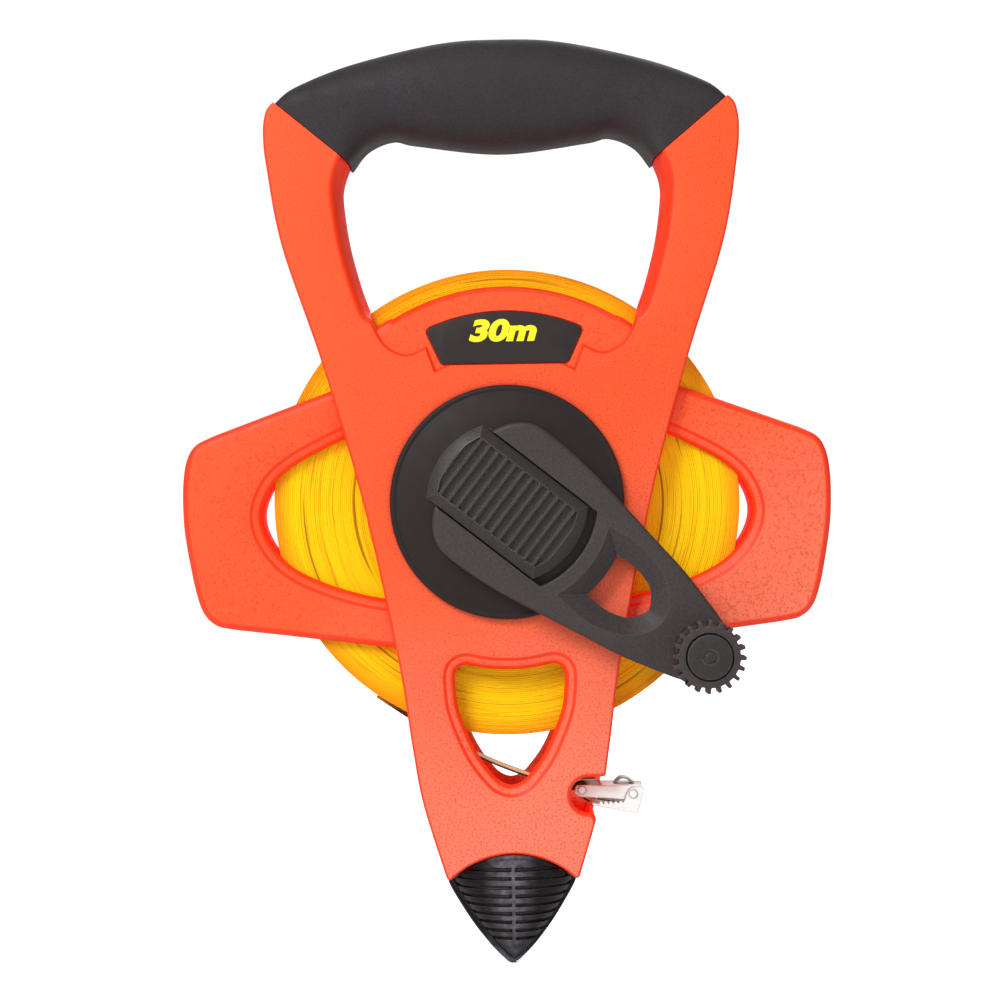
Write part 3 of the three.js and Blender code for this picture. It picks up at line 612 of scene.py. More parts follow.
def tape_material():
    """PVC-coated tape wound on edge: each turn a slightly different yellow, with grime between the turns; the
    free lead painted a shaded tan with painted shadow along its edges.
    """
    m = Recipe("tape_yellow")
    x, y, z = m.axes()
    x = m.maths("SUBTRACT", x, AXIS.x)
    z = m.maths("SUBTRACT", z, AXIS.z)
    radius = m.maths("SQRT", m.maths("ADD", m.times(x, x), m.times(z, z)))
    ring_place = m.add("ShaderNodeCombineXYZ")
    for socket, value in zip(ring_place.inputs, (radius, m.times(x, ALONG_TURN), m.times(z, ALONG_TURN))):
        m.feed(socket, value)
    rings = ring_place.outputs[0]
    fine = m.noise(GRAIN, 2.0, 0.6, rings)
    colour = m.mix(m.patches(240.0, (0.35, 0.7), detail=2.0, vector=rings), TAPE_YELLOW, TAPE_AMBER)
    colour = m.mix(m.spread(fine, 0.58, 0.7, 0.0, 0.7), colour, TAPE_LINE)
    colour = m.mix(m.patches(620.0, (0.66, 0.7), (0.0, 0.75), 1.0, vector=rings), colour, TAPE_GRIME)
    colour = m.mix(m.spread(radius, OUTER_TURNS_FROM, 0.0765, 0.0, 0.85), colour, TAPE_OUTER_TURNS)
    colour = m.mix(m.flank(0.3, 0.8), TAPE_FLAT_SIDE, colour)
    beyond = m.spread(radius, ROLL_EDGE, LEAD_FROM)
    # painted shade: the free lead is a tan, not the roll's yellow, and darker towards both edges
    colour = m.mix(beyond, colour, LEAD_SHADED_TAN)
    lead_edge = m.spread(m.maths("ABSOLUTE", y), 0.0036, 0.0052)
    colour = m.mix(m.times(lead_edge, beyond), colour, LEAD_EDGE_SHADOW)
    colour = m.over(colour, TAPE_STAIN, m.patches(900.0, (0.68, 0.76), detail=4.0, roughness=0.7), 0.6)
    return m.set(Base_Color=colour, Roughness=m.patches(500.0, out=(0.36, 0.5)), Specular_IOR_Level=0.22,
                 Normal=m.bump(fine, 0.5, 0.00012))


# painted shade along the edges of the metal and in its creases
METAL_EDGE_SHADE = rgb(92, 76, 70)
METAL_CREASE_SHADE = rgb(70, 54, 44)
BRUSHING = (60.0, 900.0, 900.0)


def metal(name, colour, dark, roughness, metallic=1.0):
    """Plated or plain metal with fine brushing, a few dull patches, painted shade along the edges and in the
    creases.
    """
    m = Recipe(name)
    stretch = m.add("ShaderNodeMapping")
    m.feed(stretch.inputs["Scale"], BRUSHING)
    m.feed(stretch.inputs["Vector"], m.place)
    brushing = m.noise(3.0, 4.0, 0.65, stretch.outputs[0])
    tone = m.over(colour, dark, m.patches(SCUFF, (0.45, 0.75), detail=4.0), 0.45)
    # painted shade: darker along the edges and where ambient occlusion finds a crease
    tone = m.mix(m.edges(0.0005), tone, METAL_EDGE_SHADE)
    tone = m.mix(m.creases(0.0009, 0.4), METAL_CREASE_SHADE, tone)
    rough = m.spread(brushing, *MIDDLE, roughness - 0.06, roughness + 0.1)
    return m.set(Base_Color=tone, Metallic=metallic, Roughness=rough, Normal=m.bump(brushing, 0.4, 0.00002))


def print_material(name, main, deep, roughness):
    """Printed film or ink: nearly smooth, with faint specks."""
    m = Recipe(name)
    colour = m.over(main, deep, m.patches(1400.0, (0.6, 0.8), detail=2.0), 0.4)
    rough = m.patches(300.0, out=(roughness - 0.05, roughness + 0.05), detail=2.0)
    return m.set(Base_Color=colour, Roughness=rough, Normal=m.bump(m.noise(2600.0, 1.0), 0.3, 0.00001))


ORANGE = frame_material()
GRIP = moulded("grip_rubber", rgb(50, 44, 48), rgb(32, 28, 31), 0.6, GRAIN, 0.00012, 0.3)
# the crank and pad mouldings get a painted highlight along their edges
CRANK_BLACK = moulded("crank_black", rgb(68, 59, 59), rgb(40, 34, 34), 0.5, 1300.0, 0.00018, 0.38,
                      edge_highlight=0.3)
PAD_BLACK = moulded("pad_black", rgb(58, 49, 50), rgb(32, 27, 28), 0.5, GRAIN, 0.00012, 0.36, edge_highlight=0.5)
HUB_BLACK = moulded("hub_black", rgb(38, 27, 26), rgb(28, 20, 19), 0.56, 2400.0, 0.00003, 0.28, 0.4)
SPIKE_BLACK = spike_material()
ACETAL = moulded("acetal", rgb(228, 224, 214), rgb(206, 200, 188), 0.45, fleck=0.2)
TAPE = tape_material()
NICKEL = metal("nickel", rgb(254, 251, 247), rgb(240, 234, 228), 0.28, 0.12)
STEEL = metal("steel", rgb(176, 176, 174), rgb(140, 138, 134), 0.34)
LABEL_FILM = print_material("label_dark", rgb(30, 18, 16), rgb(40, 28, 26), 0.42)
LABEL_INK = print_material("label_yellow", rgb(252, 240, 20), rgb(236, 220, 10), 0.5)

# ---------- frame halves

HANDLE_CORE_HALF = 9.0
HANDLE_CORE = joined(smooth([(-66, 125), (-40, 138), (0, 145), (40, 138), (66, 125)]),
                     smooth([(58, 113), (38, 127), (0, 123), (-38, 127), (-58, 113)]))
GRIP_OUTLINE = joined(handle_top, list(reversed(grip_under)))
NECK_SCREW = (0, -107)
SCREWS = [(-63.5, 98, KITE_FACE), (63.5, 98, KITE_FACE), (-91.5, 10, WING_FACE), (91.5, 10, WING_FACE),
          (-91, -25, WING_FACE), (91, -25, WING_FACE), (*NECK_SCREW, KITE_FACE)]
TANG_HALF = 8.0
TANG_TOP = -99.0
BOSS_R = 4.5
SCREW_HOLE_R = 1.8
COUNTERBORE_R = 3.4
COUNTERBORE_DEEP = 3.3
KITE_EDGE_R = 1.0
WING_EDGE_R = 2.8
ARMS_LIP_R, ARMS_LIP_DEEP = 4.0, 12.0
ARCH_SUNK = 1.0
ARCH_LIP_R = 2.4
HUB_PLATE_R, HUB_PLATE_FRONT, HUB_PLATE_BACK = 31, 13.2, 11.5
HUB_BOSS_R, HUB_BOSS_BACK = 16, 9
BUSHING_HOLE_R = 12.3
FRONT_DISH_R, FRONT_DISH_DEPTH = 27.3, 14.3
REAR_DISH_R, REAR_DISH_DEPTH = 20.3, 13.6
NOTCH_LIP_R = 1.7
LEAD_SLOT = joined(straight((-37, -65.5), (-27, -70.5)), straight((-27, -77), (-37, -71)))

# funnel round the windows, as (outward step, depth behind the face)
FUNNEL = [(4.1, 0.0), (3.75, 0.12), (3.3, 0.55), (3.0, 0.75), (2.7, 0.82), (1.3, 0.95), (1.0, 1.1),
          (0.35, 1.8), (0, 2.8)]


def funnel(face, back):
    return [(0, back)] + [(-d, -face + y) for d, y in reversed(FUNNEL)] + [(-FUNNEL[0][0], -face - 2)]


def screw_cutters(r, front, back, segments=24):
    return [disc_cutter(r, front, back, (x, z), segments=segments) for x, z, _ in SCREWS]


def frame_half():
    """The moulding of one half, drawn as the front one, before its own recesses."""
    kite = slab("frame", KITE, rounded(-KITE_FACE, -SPLIT, KITE_EDGE_R))
    combine(kite, [prism(inset(GRIP_OUTLINE, -GAP), 2, -FAR)])
    wings = slab("wings", WINGS, rounded(-WING_FACE, -SPLIT, WING_EDGE_R, 7))
    core = slab("core", HANDLE_CORE, [(0, -SPLIT), (0, -HANDLE_CORE_HALF)])
    combine(kite, [wings, core], "UNION")
    pocket = slab("pocket", inset(KITE, RIM), [(0, 1), (0, -KITE_FACE + PLATE)])
    combine(pocket, [
        prism(inset(HAND_OPENING, -RIM), 3, -FAR),
        prism(inset(GRIP_OUTLINE, -GAP - RIM), 3, -FAR),
    ] + screw_cutters(BOSS_R, -FAR, 4))
    wing_pocket = slab("pocket", inset(WINGS, RIM), [(0, 1), (0, -CAVITY_HALF)])
    combine(wing_pocket, [disc_cutter(CAVITY_R + RIM, -FAR, 3, segments=180),
                          prism(inset(WING_HOLE, -RIM), 3, -FAR),
                          prism(mirror_x(inset(WING_HOLE, -RIM)), 3, -FAR)] + screw_cutters(BOSS_R, -FAR, 4))
    arms_edge = slab("cutter", HAND_OPENING, flared(-KITE_FACE, 2, ARMS_LIP_R, 12, ARMS_LIP_DEEP))
    combine(arms_edge, [prism(HANDLE_CORE, 3, -HANDLE_CORE_HALF)])
    outside = prism(inset(KITE, 0.05), 3, -KITE_FACE + 0.1)
    holes = slab("holes", WING_HOLE, funnel(WING_FACE, 2))
    combine(holes, [slab("cutter", mirror_x(WING_HOLE), funnel(WING_FACE, 2))], "UNION")
    combine(holes, [outside])
    step = [(0.5, ARCH_SUNK), (0.1, 0.7), (-0.2, 0.15), (-0.5, -0.1), (-0.5, -2)]
    arch_step = [(d, -KITE_FACE + y) for d, y in step]
    arch_lip = joined(arc(0, 0, ARCH_R, 50, 130, 120), arc(0, 0, 90.0, 130, 50, 40))
    lip = slab("cutter", arch_lip, flared(-KITE_FACE + ARCH_SUNK, 2, ARCH_LIP_R))
    keep_arms = slab("cutter", ARCH, [(0.6, 4), (0.6, -30)])
    combine(lip, [keep_arms], "INTERSECT")
    combine(kite, [
        pocket,
        wing_pocket,
        disc_cutter(CAVITY_R, -CAVITY_HALF, 2, segments=240),
        holes,
        arms_edge,
        slab("cutter", NECK_WINDOW, funnel(KITE_FACE, 2)),
        slab("cutter", ARCH, arch_step),
        lip,
        prism(LEAD_SLOT, 2, -TAPE_HALF - 1),
    ])
    hub = turned("hub", bead(HUB_PLATE_R, 6, -HUB_PLATE_FRONT, -HUB_PLATE_BACK, 0.3), 96)
    combine(hub, [turned("boss", bead(HUB_BOSS_R, 6, -HUB_PLATE_FRONT, -HUB_BOSS_BACK, 0.5), 72)], "UNION")
    combine(kite, [hub], "UNION")
    combine(kite, [disc_cutter(BUSHING_HOLE_R, -FAR, 2)])
    wide = TANG_HALF + GAP
    tang = box_cutter(-wide, wide, -CAVITY_HALF - GAP, 2, -126, TANG_TOP + GAP)
    combine(tang, [disc_cutter(BOSS_R, -FAR, 4, NECK_SCREW, segments=24)])
    return combine(kite, [tang])


def rounded_sector(r_in, r_out, half, corner):
    """An annular sector about the middle line with rounded corners."""
    side = []
    for r, sign in ((r_out, 1), (r_in, -1)):
        mid = r - sign * corner
        turn = math.radians(half) - math.asin(corner / mid)
        cx, cz = mid * math.sin(turn), mid * math.cos(turn)
        start = 90 - math.degrees(turn)
        sweep = (start, start - 90) if sign > 0 else (start - 90, start - 180)
        side += arc(cx, cz, corner, *sweep, 6)
    return joined(side, mirror_x(side), arc(0, 0, r_out, 90 + half - 3, 90 - half + 3, 40))


LABEL = rounded_sector(49, 62, 24.5, 1.6)


def twin(front, name):
    """A copy of a front piece, to become its rear twin."""
    rear = front.copy()
    rear.data = front.data.copy()
    rear.name = name
    bpy.context.scene.collection.objects.link(rear)
    return rear


def turn_round(obj):
    """Mirrors a front piece to the back."""
    for v in obj.data.vertices:
        v.co.y = -v.co.y
    obj.data.flip_normals()


def make_frames():
    front = frame_half()
    front.name = "front_frame_shell"
    rear = twin(front, "rear_frame_shell")
    label_seat = [(0, -14.4), (0, -14.8), (-0.3, -15.1), (-0.3, -FAR)]
    combine(front, [
        disc_cutter(FRONT_DISH_R, -FAR, -FRONT_DISH_DEPTH, segments=96),
        slab("cutter", inset(LABEL, -0.25), label_seat),
        slab("cutter", NOTCH, flared(-KITE_FACE, 2, NOTCH_LIP_R, 8)),
    ] + [disc_cutter(SCREW_HOLE_R, -face + PLATE + 1, 2, (x, z), segments=20) for x, z, face in SCREWS])
    rear_dish = disc_cutter(REAR_DISH_R, -FAR, -REAR_DISH_DEPTH, segments=120)
    combine(rear, [rear_dish, prism(NOTCH, 2, -NOTCH_FLOOR)]
            + screw_cutters(SCREW_HOLE_R, -FAR, 2, 20)
            + [counterbore(face, (x, z)) for x, z, face in SCREWS])
    turn_round(rear)
    dress(front, "root", ORANGE, ["front_frame"])
    dress(rear, "root", ORANGE, ["rear_frame"])


def counterbore(face, centre):
    """A screw's counterbore with a softened rim."""
    ring = arc(*centre, COUNTERBORE_R, 0, 360, 32)[:-1]
    profile = [(0, -face + COUNTERBORE_DEEP), (0, -face + 0.4), (-0.4, -face), (-0.4, -FAR)]
    return slab("cutter", ring, profile)


# ---------- grip

GRIP_HALF = KITE_FACE
GRIP_SQUARENESS = 2.5
GRIP_END_SQUARER = 6.0
GRIP_STATIONS = 96


def resample(points, count):
    """The same line as count evenly spaced points."""
    lengths = [0.0]
    for a, b in zip(points, points[1:]):
        lengths.append(lengths[-1] + math.dist(a, b))
    out = []
    k = 0
    for i in range(count):
        wanted = lengths[-1] * i / (count - 1)
        while k < len(points) - 2 and lengths[k + 1] < wanted:
            k += 1
        t = (wanted - lengths[k]) / max(lengths[k + 1] - lengths[k], 1e-9)
        a, b = points[k], points[k + 1]
        out.append((a[0] + (b[0] - a[0]) * t, a[1] + (b[1] - a[1]) * t))
    return out


def superellipse(half_z, half_y, squareness, steps):
    """Half a section from its top round the front to its bottom, as (z, y)."""
    out = []
    for i in range(steps + 1):
        a = math.pi * i / steps
        c, s = math.cos(a), math.sin(a)
        out.append((half_z * math.copysign(abs(c) ** (2 / squareness), c), -half_y * s ** (2 / squareness)))
    return out


def grip_half():
    top = resample(handle_top, GRIP_STATIONS)
    foot = resample(grip_under, GRIP_STATIONS)
    rings = []
    for i, ((tx, tz), (bx, bz)) in enumerate(zip(top, foot)):
        to_end = abs(2 * i / (GRIP_STATIONS - 1) - 1)
        squareness = GRIP_SQUARENESS + GRIP_END_SQUARER * to_end ** 10
        middle = Vector(((tx + bx) / 2, (tz + bz) / 2))
        up = Vector((tx - bx, tz - bz)) / 2
        ring = [(middle.x + up.x * h, -SPLIT + y, middle.y + up.y * h)
                for h, y in superellipse(1.0, GRIP_HALF - SPLIT, squareness, 28)]
        rings.append(ring)
    grip = loft("grip", rings)
    return combine(grip, [prism(inset(HANDLE_CORE, -GAP), 2, -HANDLE_CORE_HALF - GAP)])


def make_grips():
    front = grip_half()
    front.name = "front_grip_shell"
    rear = twin(front, "rear_grip_shell")
    turn_round(rear)
    dress(front, "root", GRIP, ["front_grip"])
    dress(rear, "root", GRIP, ["rear_grip"])


# ---------- label

LABEL_FRONT = 15.2
LABEL_BACK = 14.7
FIGURES_LEFT, FIGURES_RIGHT = -11.6, 10.6
FIGURES_FOOT, FIGURES_TOP = 52.2, 59.6
FIGURES_RAISED = 0.06


def make_label():
    film = slab("label_film", LABEL, rounded(-LABEL_FRONT, -LABEL_BACK, 0.15, 3))
    dress(film, "root", LABEL_FILM, ["capacity_label"])
    curve = bpy.data.curves.new("figures", "FONT")
    curve.body = "30m"
    curve.shear = 0.22
    curve.offset = 0.05
    curve.extrude = 0.5
    curve.resolution_u = 8
    text = bpy.data.objects.new("figures", curve)
    bpy.context.scene.collection.objects.link(text)
    bpy.context.view_layer.update()
    source = bpy.data.meshes.new_from_object(text.evaluated_get(bpy.context.evaluated_depsgraph_get()))
    bpy.data.objects.remove(text)
    xs = [v.co.x for v in source.vertices]
    ys = [v.co.y for v in source.vertices]
    wide = (FIGURES_RIGHT - FIGURES_LEFT) / (max(xs) - min(xs))
    high = (FIGURES_TOP - FIGURES_FOOT) / (max(ys) - min(ys))
    verts = [(FIGURES_LEFT + (v.co.x - min(xs)) * wide,
              -LABEL_FRONT + (0.03 if v.co.z < 0 else -FIGURES_RAISED),
              FIGURES_FOOT + (v.co.y - min(ys)) * high) for v in source.vertices]
    faces = [tuple(p.vertices) for p in source.polygons]
    bpy.data.meshes.remove(source)
    figures = new_object("label_figures", verts, faces)
    dress(figures, "root", LABEL_INK)


# ---------- screws

SCREW_HEAD_R = 3.0
HEAD_RISE = 0.55


def cross_recess(centre, face, half=0.42, reach=1.9, depth=1.3):
    """A cross-shaped recess cut into a screw head whose face looks to the back."""
    x, z = centre
    a = box_cutter(x - reach, x + reach, face - depth, face + 1, z - half, z + half)
    b = box_cutter(x - half, x + half, face - depth, face + 1, z - reach, z + reach)
    return combine(a, [b], "UNION")


def pan_head(name, centre, face, r, thick, shank_r, shank_end):
    """A screw looking to the back: domed head with a cross recess, plain shank."""
    dome = [(r * math.sin(a), face - HEAD_RISE * (1 - math.cos(a))) for a in quarter(10)]
    under = face - thick
    profile = [(0.02, shank_end), (shank_r - 0.3, shank_end), (shank_r, shank_end + 0.3), (shank_r, under),
               (r, under)] + dome[::-1][:-1] + [(0.02, face)]
    screw = turned(name, profile, 48, centre)
    return combine(screw, [cross_recess(centre, face)])


def make_screws():
    names = ["arm_screw_left", "arm_screw_right", "wing_screw_upper_left", "wing_screw_upper_right",
             "wing_screw_lower_left", "wing_screw_lower_right", "neck_screw"]
    for name, (x, z, face) in zip(names, SCREWS):
        screw = pan_head(name + "_head", (x, z), face - 1.0, SCREW_HEAD_R, 2.0, 1.5, -face + PLATE + 2)
        dress(screw, "root", STEEL, [name])


# ---------- ground spike

SPIKE_SIDE = smooth([(20.9, -124), (20.2, -126.3), (16.4, -132.9), (12.1, -139.5), (6.9, -146.1),
                     (3.0, -150.1), (1.3, -151.5), (0, SPIKE_TIP_Z)])
SPIKE_DEPTHS = [(-112.0, 15.6), (-122.0, 15.4), (-129.0, 14.2), (-135.0, 12.5), (-140.0, 10.2), (-145.0, 7.0),
                (-149.0, 4.2), (SPIKE_TIP_Z, 1.4)]
SPIKE_TOP = -113.0
SPIKE_STEP = 0.125
SPIKE_SIDES = 72
SPIKE_LEAST = 0.15
SPIKE_LIP = 0.35
FLANGE = 0.95
FLANGE_HALF = 2.2
GROOVES = [-119.7 - 2.95 * i for i in range(9)]
GROOVE_HALF = 0.62
RIB_WIDE = 1.1
GROOVE_DEPTH = 0.75


def between(table, value):
    """Linear reading of a table of (place, value) pairs that runs downwards."""
    for (a, p), (b, q) in zip(table, table[1:]):
        if value >= b:
            return p + (q - p) * (a - value) / (a - b)
    return table[-1][1]


def spike_half_width(z):
    return between([(-112.0, 21.5)] + [(p[1], p[0]) for p in SPIKE_SIDE], z)


def groove_at(z):
    nearest = min(abs(z - g) for g in GROOVES)
    return GROOVE_DEPTH * min(1.0, max(0.0, (GROOVE_HALF - nearest) / 0.25))


def spike_body(name, grooved, grow):
    """The boot as a stack of ellipses, with its grooves or without."""
    rings = []
    for level in range(int((SPIKE_TOP - SPIKE_TIP_Z) / SPIKE_STEP)):
        z = SPIKE_TOP - level * SPIKE_STEP
        cut = groove_at(z) if grooved else 0.0
        wide = max(SPIKE_LEAST, spike_half_width(z) - FLANGE - cut + grow)
        deep = max(SPIKE_LEAST, between(SPIKE_DEPTHS, z) - cut + grow)
        turns = [2 * math.pi * i / SPIKE_SIDES for i in range(SPIKE_SIDES)]
        rings.append([(wide * math.cos(a), deep * math.sin(a), z) for a in turns])
    return loft(name, rings)


def ball_outline(r):
    return arc(0, SPIKE_ARC_Z, r, 0, 360, 180)[:-1]


def make_spike():
    outline = joined(arc(0, SPIKE_ARC_Z, SPIKE_ARC_R, 44, 136, 60), mirror_x(SPIKE_SIDE), SPIKE_SIDE[::-1])
    spike = spike_body("spike_boot", True, 0.0)
    combine(spike, [prism(ball_outline(SPIKE_ARC_R - FLANGE), 30, -30)], "INTERSECT")
    lip = spike_body("lip", False, SPIKE_LIP)
    combine(lip, [prism(ball_outline(SPIKE_ARC_R), 30, -30)], "INTERSECT")
    combine(lip, [prism(ball_outline(SPIKE_ARC_R - FLANGE - 0.1), 30, -30)])
    rib = spike_body("rib", False, 0.0)
    combine(rib, [box_cutter(-RIB_WIDE / 2, RIB_WIDE / 2, -30, 30, -149, -118)], "INTERSECT")
    flange = slab("flange", outline, rounded_both(-FLANGE_HALF, FLANGE_HALF, 0.6, 4))
    tang = box_cutter(-TANG_HALF, TANG_HALF, -CAVITY_HALF, CAVITY_HALF, -122, TANG_TOP)
    combine(tang, [disc_cutter(BOSS_R + GAP, -FAR, FAR, NECK_SCREW, segments=32)])
    combine(spike, [rib, flange, lip, tang], "UNION")
    dress(spike, "root", SPIKE_BLACK, ["ground_spike"])


# ---------- wound tape

TURNS = 60
STAND_OUT = 0.16
LOOSE_TURNS = 9
LOOSE_SUNK = -0.55
TURN_WIDE = 0.64
TURN_SHAPE = ((0.05, 0.3), (0.16, 0.02), (0.48, 0.0), (0.59, 0.24))  # (across, sunk)


def make_roll():
    """Every turn of tape stands a little in or out and wanders along its length."""
    rng = random.Random(7)
    pitch = (ROLL_R - CORE_R) / TURNS
    stand = [rng.uniform(-STAND_OUT, STAND_OUT) for _ in range(TURNS)]
    for k in rng.sample(range(8, TURNS - 6), LOOSE_TURNS):
        stand[k] = LOOSE_SUNK
    wander = [(rng.uniform(0.02, 0.09), rng.choice((1, 2, 3)), rng.uniform(0, 6.28)) for _ in range(TURNS)]
    half = TAPE_HALF - 0.12
    low = half - 0.4

    def section(_, angle):
        front, back = [], []
        for k in range(TURNS):
            size, waves, phase = wander[k]
            shift = stand[k] + size * math.sin(waves * angle + phase)
            for across_turn, sink in TURN_SHAPE:
                r = CORE_R + k * pitch + across_turn * pitch / TURN_WIDE
                front.append((r, -half - shift * 0.5 + sink * 0.6))
                back.append((r, half - shift * 0.5 - sink * 0.6))
        return [(CORE_R, -low), *front, (ROLL_R, -low), (ROLL_R, low), *back[::-1], (CORE_R, low)]

    roll = turned("tape_roll", [], 180, wave=section)
    dress(roll, "drum", TAPE, ["wound_tape"], angle=50)


# ---------- crank hub and rear cap

HUB_R = 38.0
HUB_FRONT = 19.0
HUB_BACK = 16.4
HUB_NECK_R = 8.0
SPINDLE_R = 4.0
BOLT_AT = 19.5
BOLT_R = 1.5
LOCK_TRAVEL = 2.6
ARM_SCREW = (-2.0, 20.0)


def bolt_slot(y0, y1):
    half = BOLT_R + GAP
    return box_cutter(BOLT_AT - half, BOLT_AT + LOCK_TRAVEL + half, y0, y1, -half, half, along_crank)


def make_hub():
    turns = quarter(4)
    rim_back = [(HUB_R - 0.5 + 0.5 * math.sin(a), -HUB_BACK - 0.5 + 0.5 * math.cos(a)) for a in turns]
    rim_front = [(HUB_R - 0.9 + 0.9 * math.cos(a), -HUB_FRONT + 0.9 - 0.9 * math.sin(a)) for a in turns]
    profile = [(SPINDLE_R + GAP, -7.2), (HUB_NECK_R - 0.3, -7.2), (HUB_NECK_R, -7.5), (HUB_NECK_R, -HUB_BACK)]
    profile += rim_back + rim_front
    profile += [(36.4, -HUB_FRONT), (36.2, -HUB_FRONT + 0.12), (35.9, -HUB_FRONT + 0.12), (35.7, -HUB_FRONT)]
    profile += [(SPINDLE_R + GAP, -HUB_FRONT)]
    hub = turned("crank_hub_disc", profile, 180, place=along_crank)
    x, z = ARM_SCREW
    cuts = [bolt_slot(-22, -10)]
    for side in (z, -z):
        cuts.append(disc_cutter(SCREW_HOLE_R, -22, -10, (x, side), along_crank, 32))
        cuts.append(disc_cutter(SCREW_HEAD_R + GAP, -HUB_BACK - 1.4, -10, (x, side), along_crank, 48))
    combine(hub, cuts)
    dress(hub, "drum", HUB_BLACK, ["crank_hub"])


CAP_R = 20.0
CAP_BACK = 15.8
CAP_FRONT = 13.9


def make_rear_cap():
    turns = quarter(4)
    rim = [(CAP_R - 0.5 + 0.5 * math.cos(a), CAP_BACK - 0.5 + 0.5 * math.sin(a)) for a in turns]
    profile = [(2.2, CAP_FRONT), (CAP_R, CAP_FRONT)] + rim
    profile += [(17.2, CAP_BACK), (16.9, CAP_BACK - 0.4), (16.1, CAP_BACK - 0.4), (15.8, CAP_BACK)]
    profile += [(4.3, CAP_BACK), (3.9, CAP_BACK - 0.3), (3.8, CAP_BACK - 1.2), (2.2, CAP_BACK - 1.2)]
    cap = turned("rear_cap_disc", profile, 144)
    dress(cap, "drum", HUB_BLACK, ["rear_cap"])
    screw = pan_head("rear_cap_screw_head", (0, 0), CAP_BACK - 0.15, 3.4, 0.75, 1.9, 5.0)
    dress(screw, "drum", STEEL, ["rear_cap_screw"])


# ---------- crank arm

ARM_BACK = 19.3
ARM_FRONT = 26.5
ARM_FLOOR = 21.0
ARM_BACK_EDGE, ARM_FRONT_EDGE = 0.4, 1.5
ARM_END_R = 11.2
CRANK_SCREW_HOLE_R = 6.4
PAD_R = 26.0
PAD_HALF = 14.7
PAD_FRONT = 28.5
PAD_BACK = ARM_FLOOR + GAP
KNOB_PIN_R = 3.0

arm_side = smooth([(-17.6, 16), (-13.4, 22), (-6, 25.6), (12, 25), (31, 22), (45, 19.5), (59, 17), (73, 13.3),
                   (79, 11.4)])


def across(points):
    """The points on the other side of the arm, in reverse order."""
    return [(u, -v) for u, v in reversed(points)]


ARM = joined(arm_side, arc(KNOB_AT, 0, ARM_END_R, 80, -80, 40), across(arm_side))


def banded(r, half, steps=40):
    """A disc cut to a straight-sided band along the arm."""
    a = math.degrees(math.asin(half / r))
    return joined(arc(0, 0, r, -a, a, steps), arc(0, 0, r, 180 - a, 180 + a, steps))


def band_plate(name, r, half, profile):
    """A plate over such a band; profile lists (inset, depth)."""
    return loft(name, [[(u, y, v) for u, v in banded(r - d, half - d)] for d, y in profile], along_crank)


def bowl_ring(arc_r, corner, shoulder, tip):
    """One level of the bowl round the arm's window: an arc at the hub end and a pointed far end."""
    turn = math.degrees(math.asin(corner / arc_r))
    base = resample(arc(0, 0, arc_r, -turn, turn, 24), 25)
    start = base[-1]
    nose = (tip - 1.2, shoulder[1][1] * 0.42)
    side = resample(smooth([start, shoulder[0], shoulder[1], nose, (tip, 0)], 0.5), 30)
    return base[:-1] + side[:-1] + across(side)[:-1]


BOWL_TOP = bowl_ring(33.6, 14.0, ((44, 14.8), (56, 11.0)), 63.0)
BOWL_FOOT = bowl_ring(39.5, 8.0, ((46, 8.3), (53, 6.4)), 57.7)
BOWL_DEPTH = 4.2
BOWL_RISE = 0.5  # how far the cutter goes on above the arm, against the bowl's depth


def bowl_cutter():
    over = [(a[0] + (a[0] - b[0]) * BOWL_RISE, a[1] + (a[1] - b[1]) * BOWL_RISE)
            for a, b in zip(BOWL_TOP, BOWL_FOOT)]
    levels = [(BOWL_FOOT, -10), (BOWL_FOOT, -ARM_FRONT + BOWL_DEPTH), (BOWL_TOP, -ARM_FRONT),
              (over, -ARM_FRONT - BOWL_DEPTH * BOWL_RISE)]
    return loft("cutter", [[(u, y, v) for u, v in line] for line, y in levels], along_crank)


def make_arm():
    edge = rounded_both(-ARM_FRONT, -ARM_BACK, ARM_BACK_EDGE, 3)[:4]
    edge += rounded(-ARM_FRONT, -ARM_BACK, ARM_FRONT_EDGE, 6)[1:]
    arm = slab("crank_arm_body", ARM, edge, along_crank)
    floor = slab("floor", banded(PAD_R - 1.5, PAD_HALF + 1), [(0, -ARM_BACK), (0, -ARM_FLOOR)], along_crank)
    combine(arm, [floor], "UNION")
    x, z = ARM_SCREW
    channel = slab("cutter", banded(PAD_R + LOCK_TRAVEL + 0.4, PAD_HALF + GAP),
                   flared(-ARM_FRONT, -ARM_FLOOR, 0.5, 4), along_crank)
    combine(arm, [
        channel,
        bowl_cutter(),
        disc_cutter(CRANK_SCREW_HOLE_R, -30, -10, (0, 0), along_crank, 64),
        bolt_slot(-22, -10),
        disc_cutter(KNOB_PIN_R + GAP, -30, -ARM_BACK - 1.5, (KNOB_AT, 0), along_crank, 48),
        disc_cutter(SCREW_HOLE_R, -24.5, -10, (x, z), along_crank, 32),
        disc_cutter(SCREW_HOLE_R, -24.5, -10, (x, -z), along_crank, 32),
    ])
    dress(arm, "drum", CRANK_BLACK, ["crank_arm"], angle=24)


# ---------- drum lock

RIBS = 14
RIB_PITCH = 3.4
RIB_HALF = 0.62
RIB_FIELD_R = 22.6
RIB_FIELD_HALF = 11.2
SLOT_DEPTH = 1.25


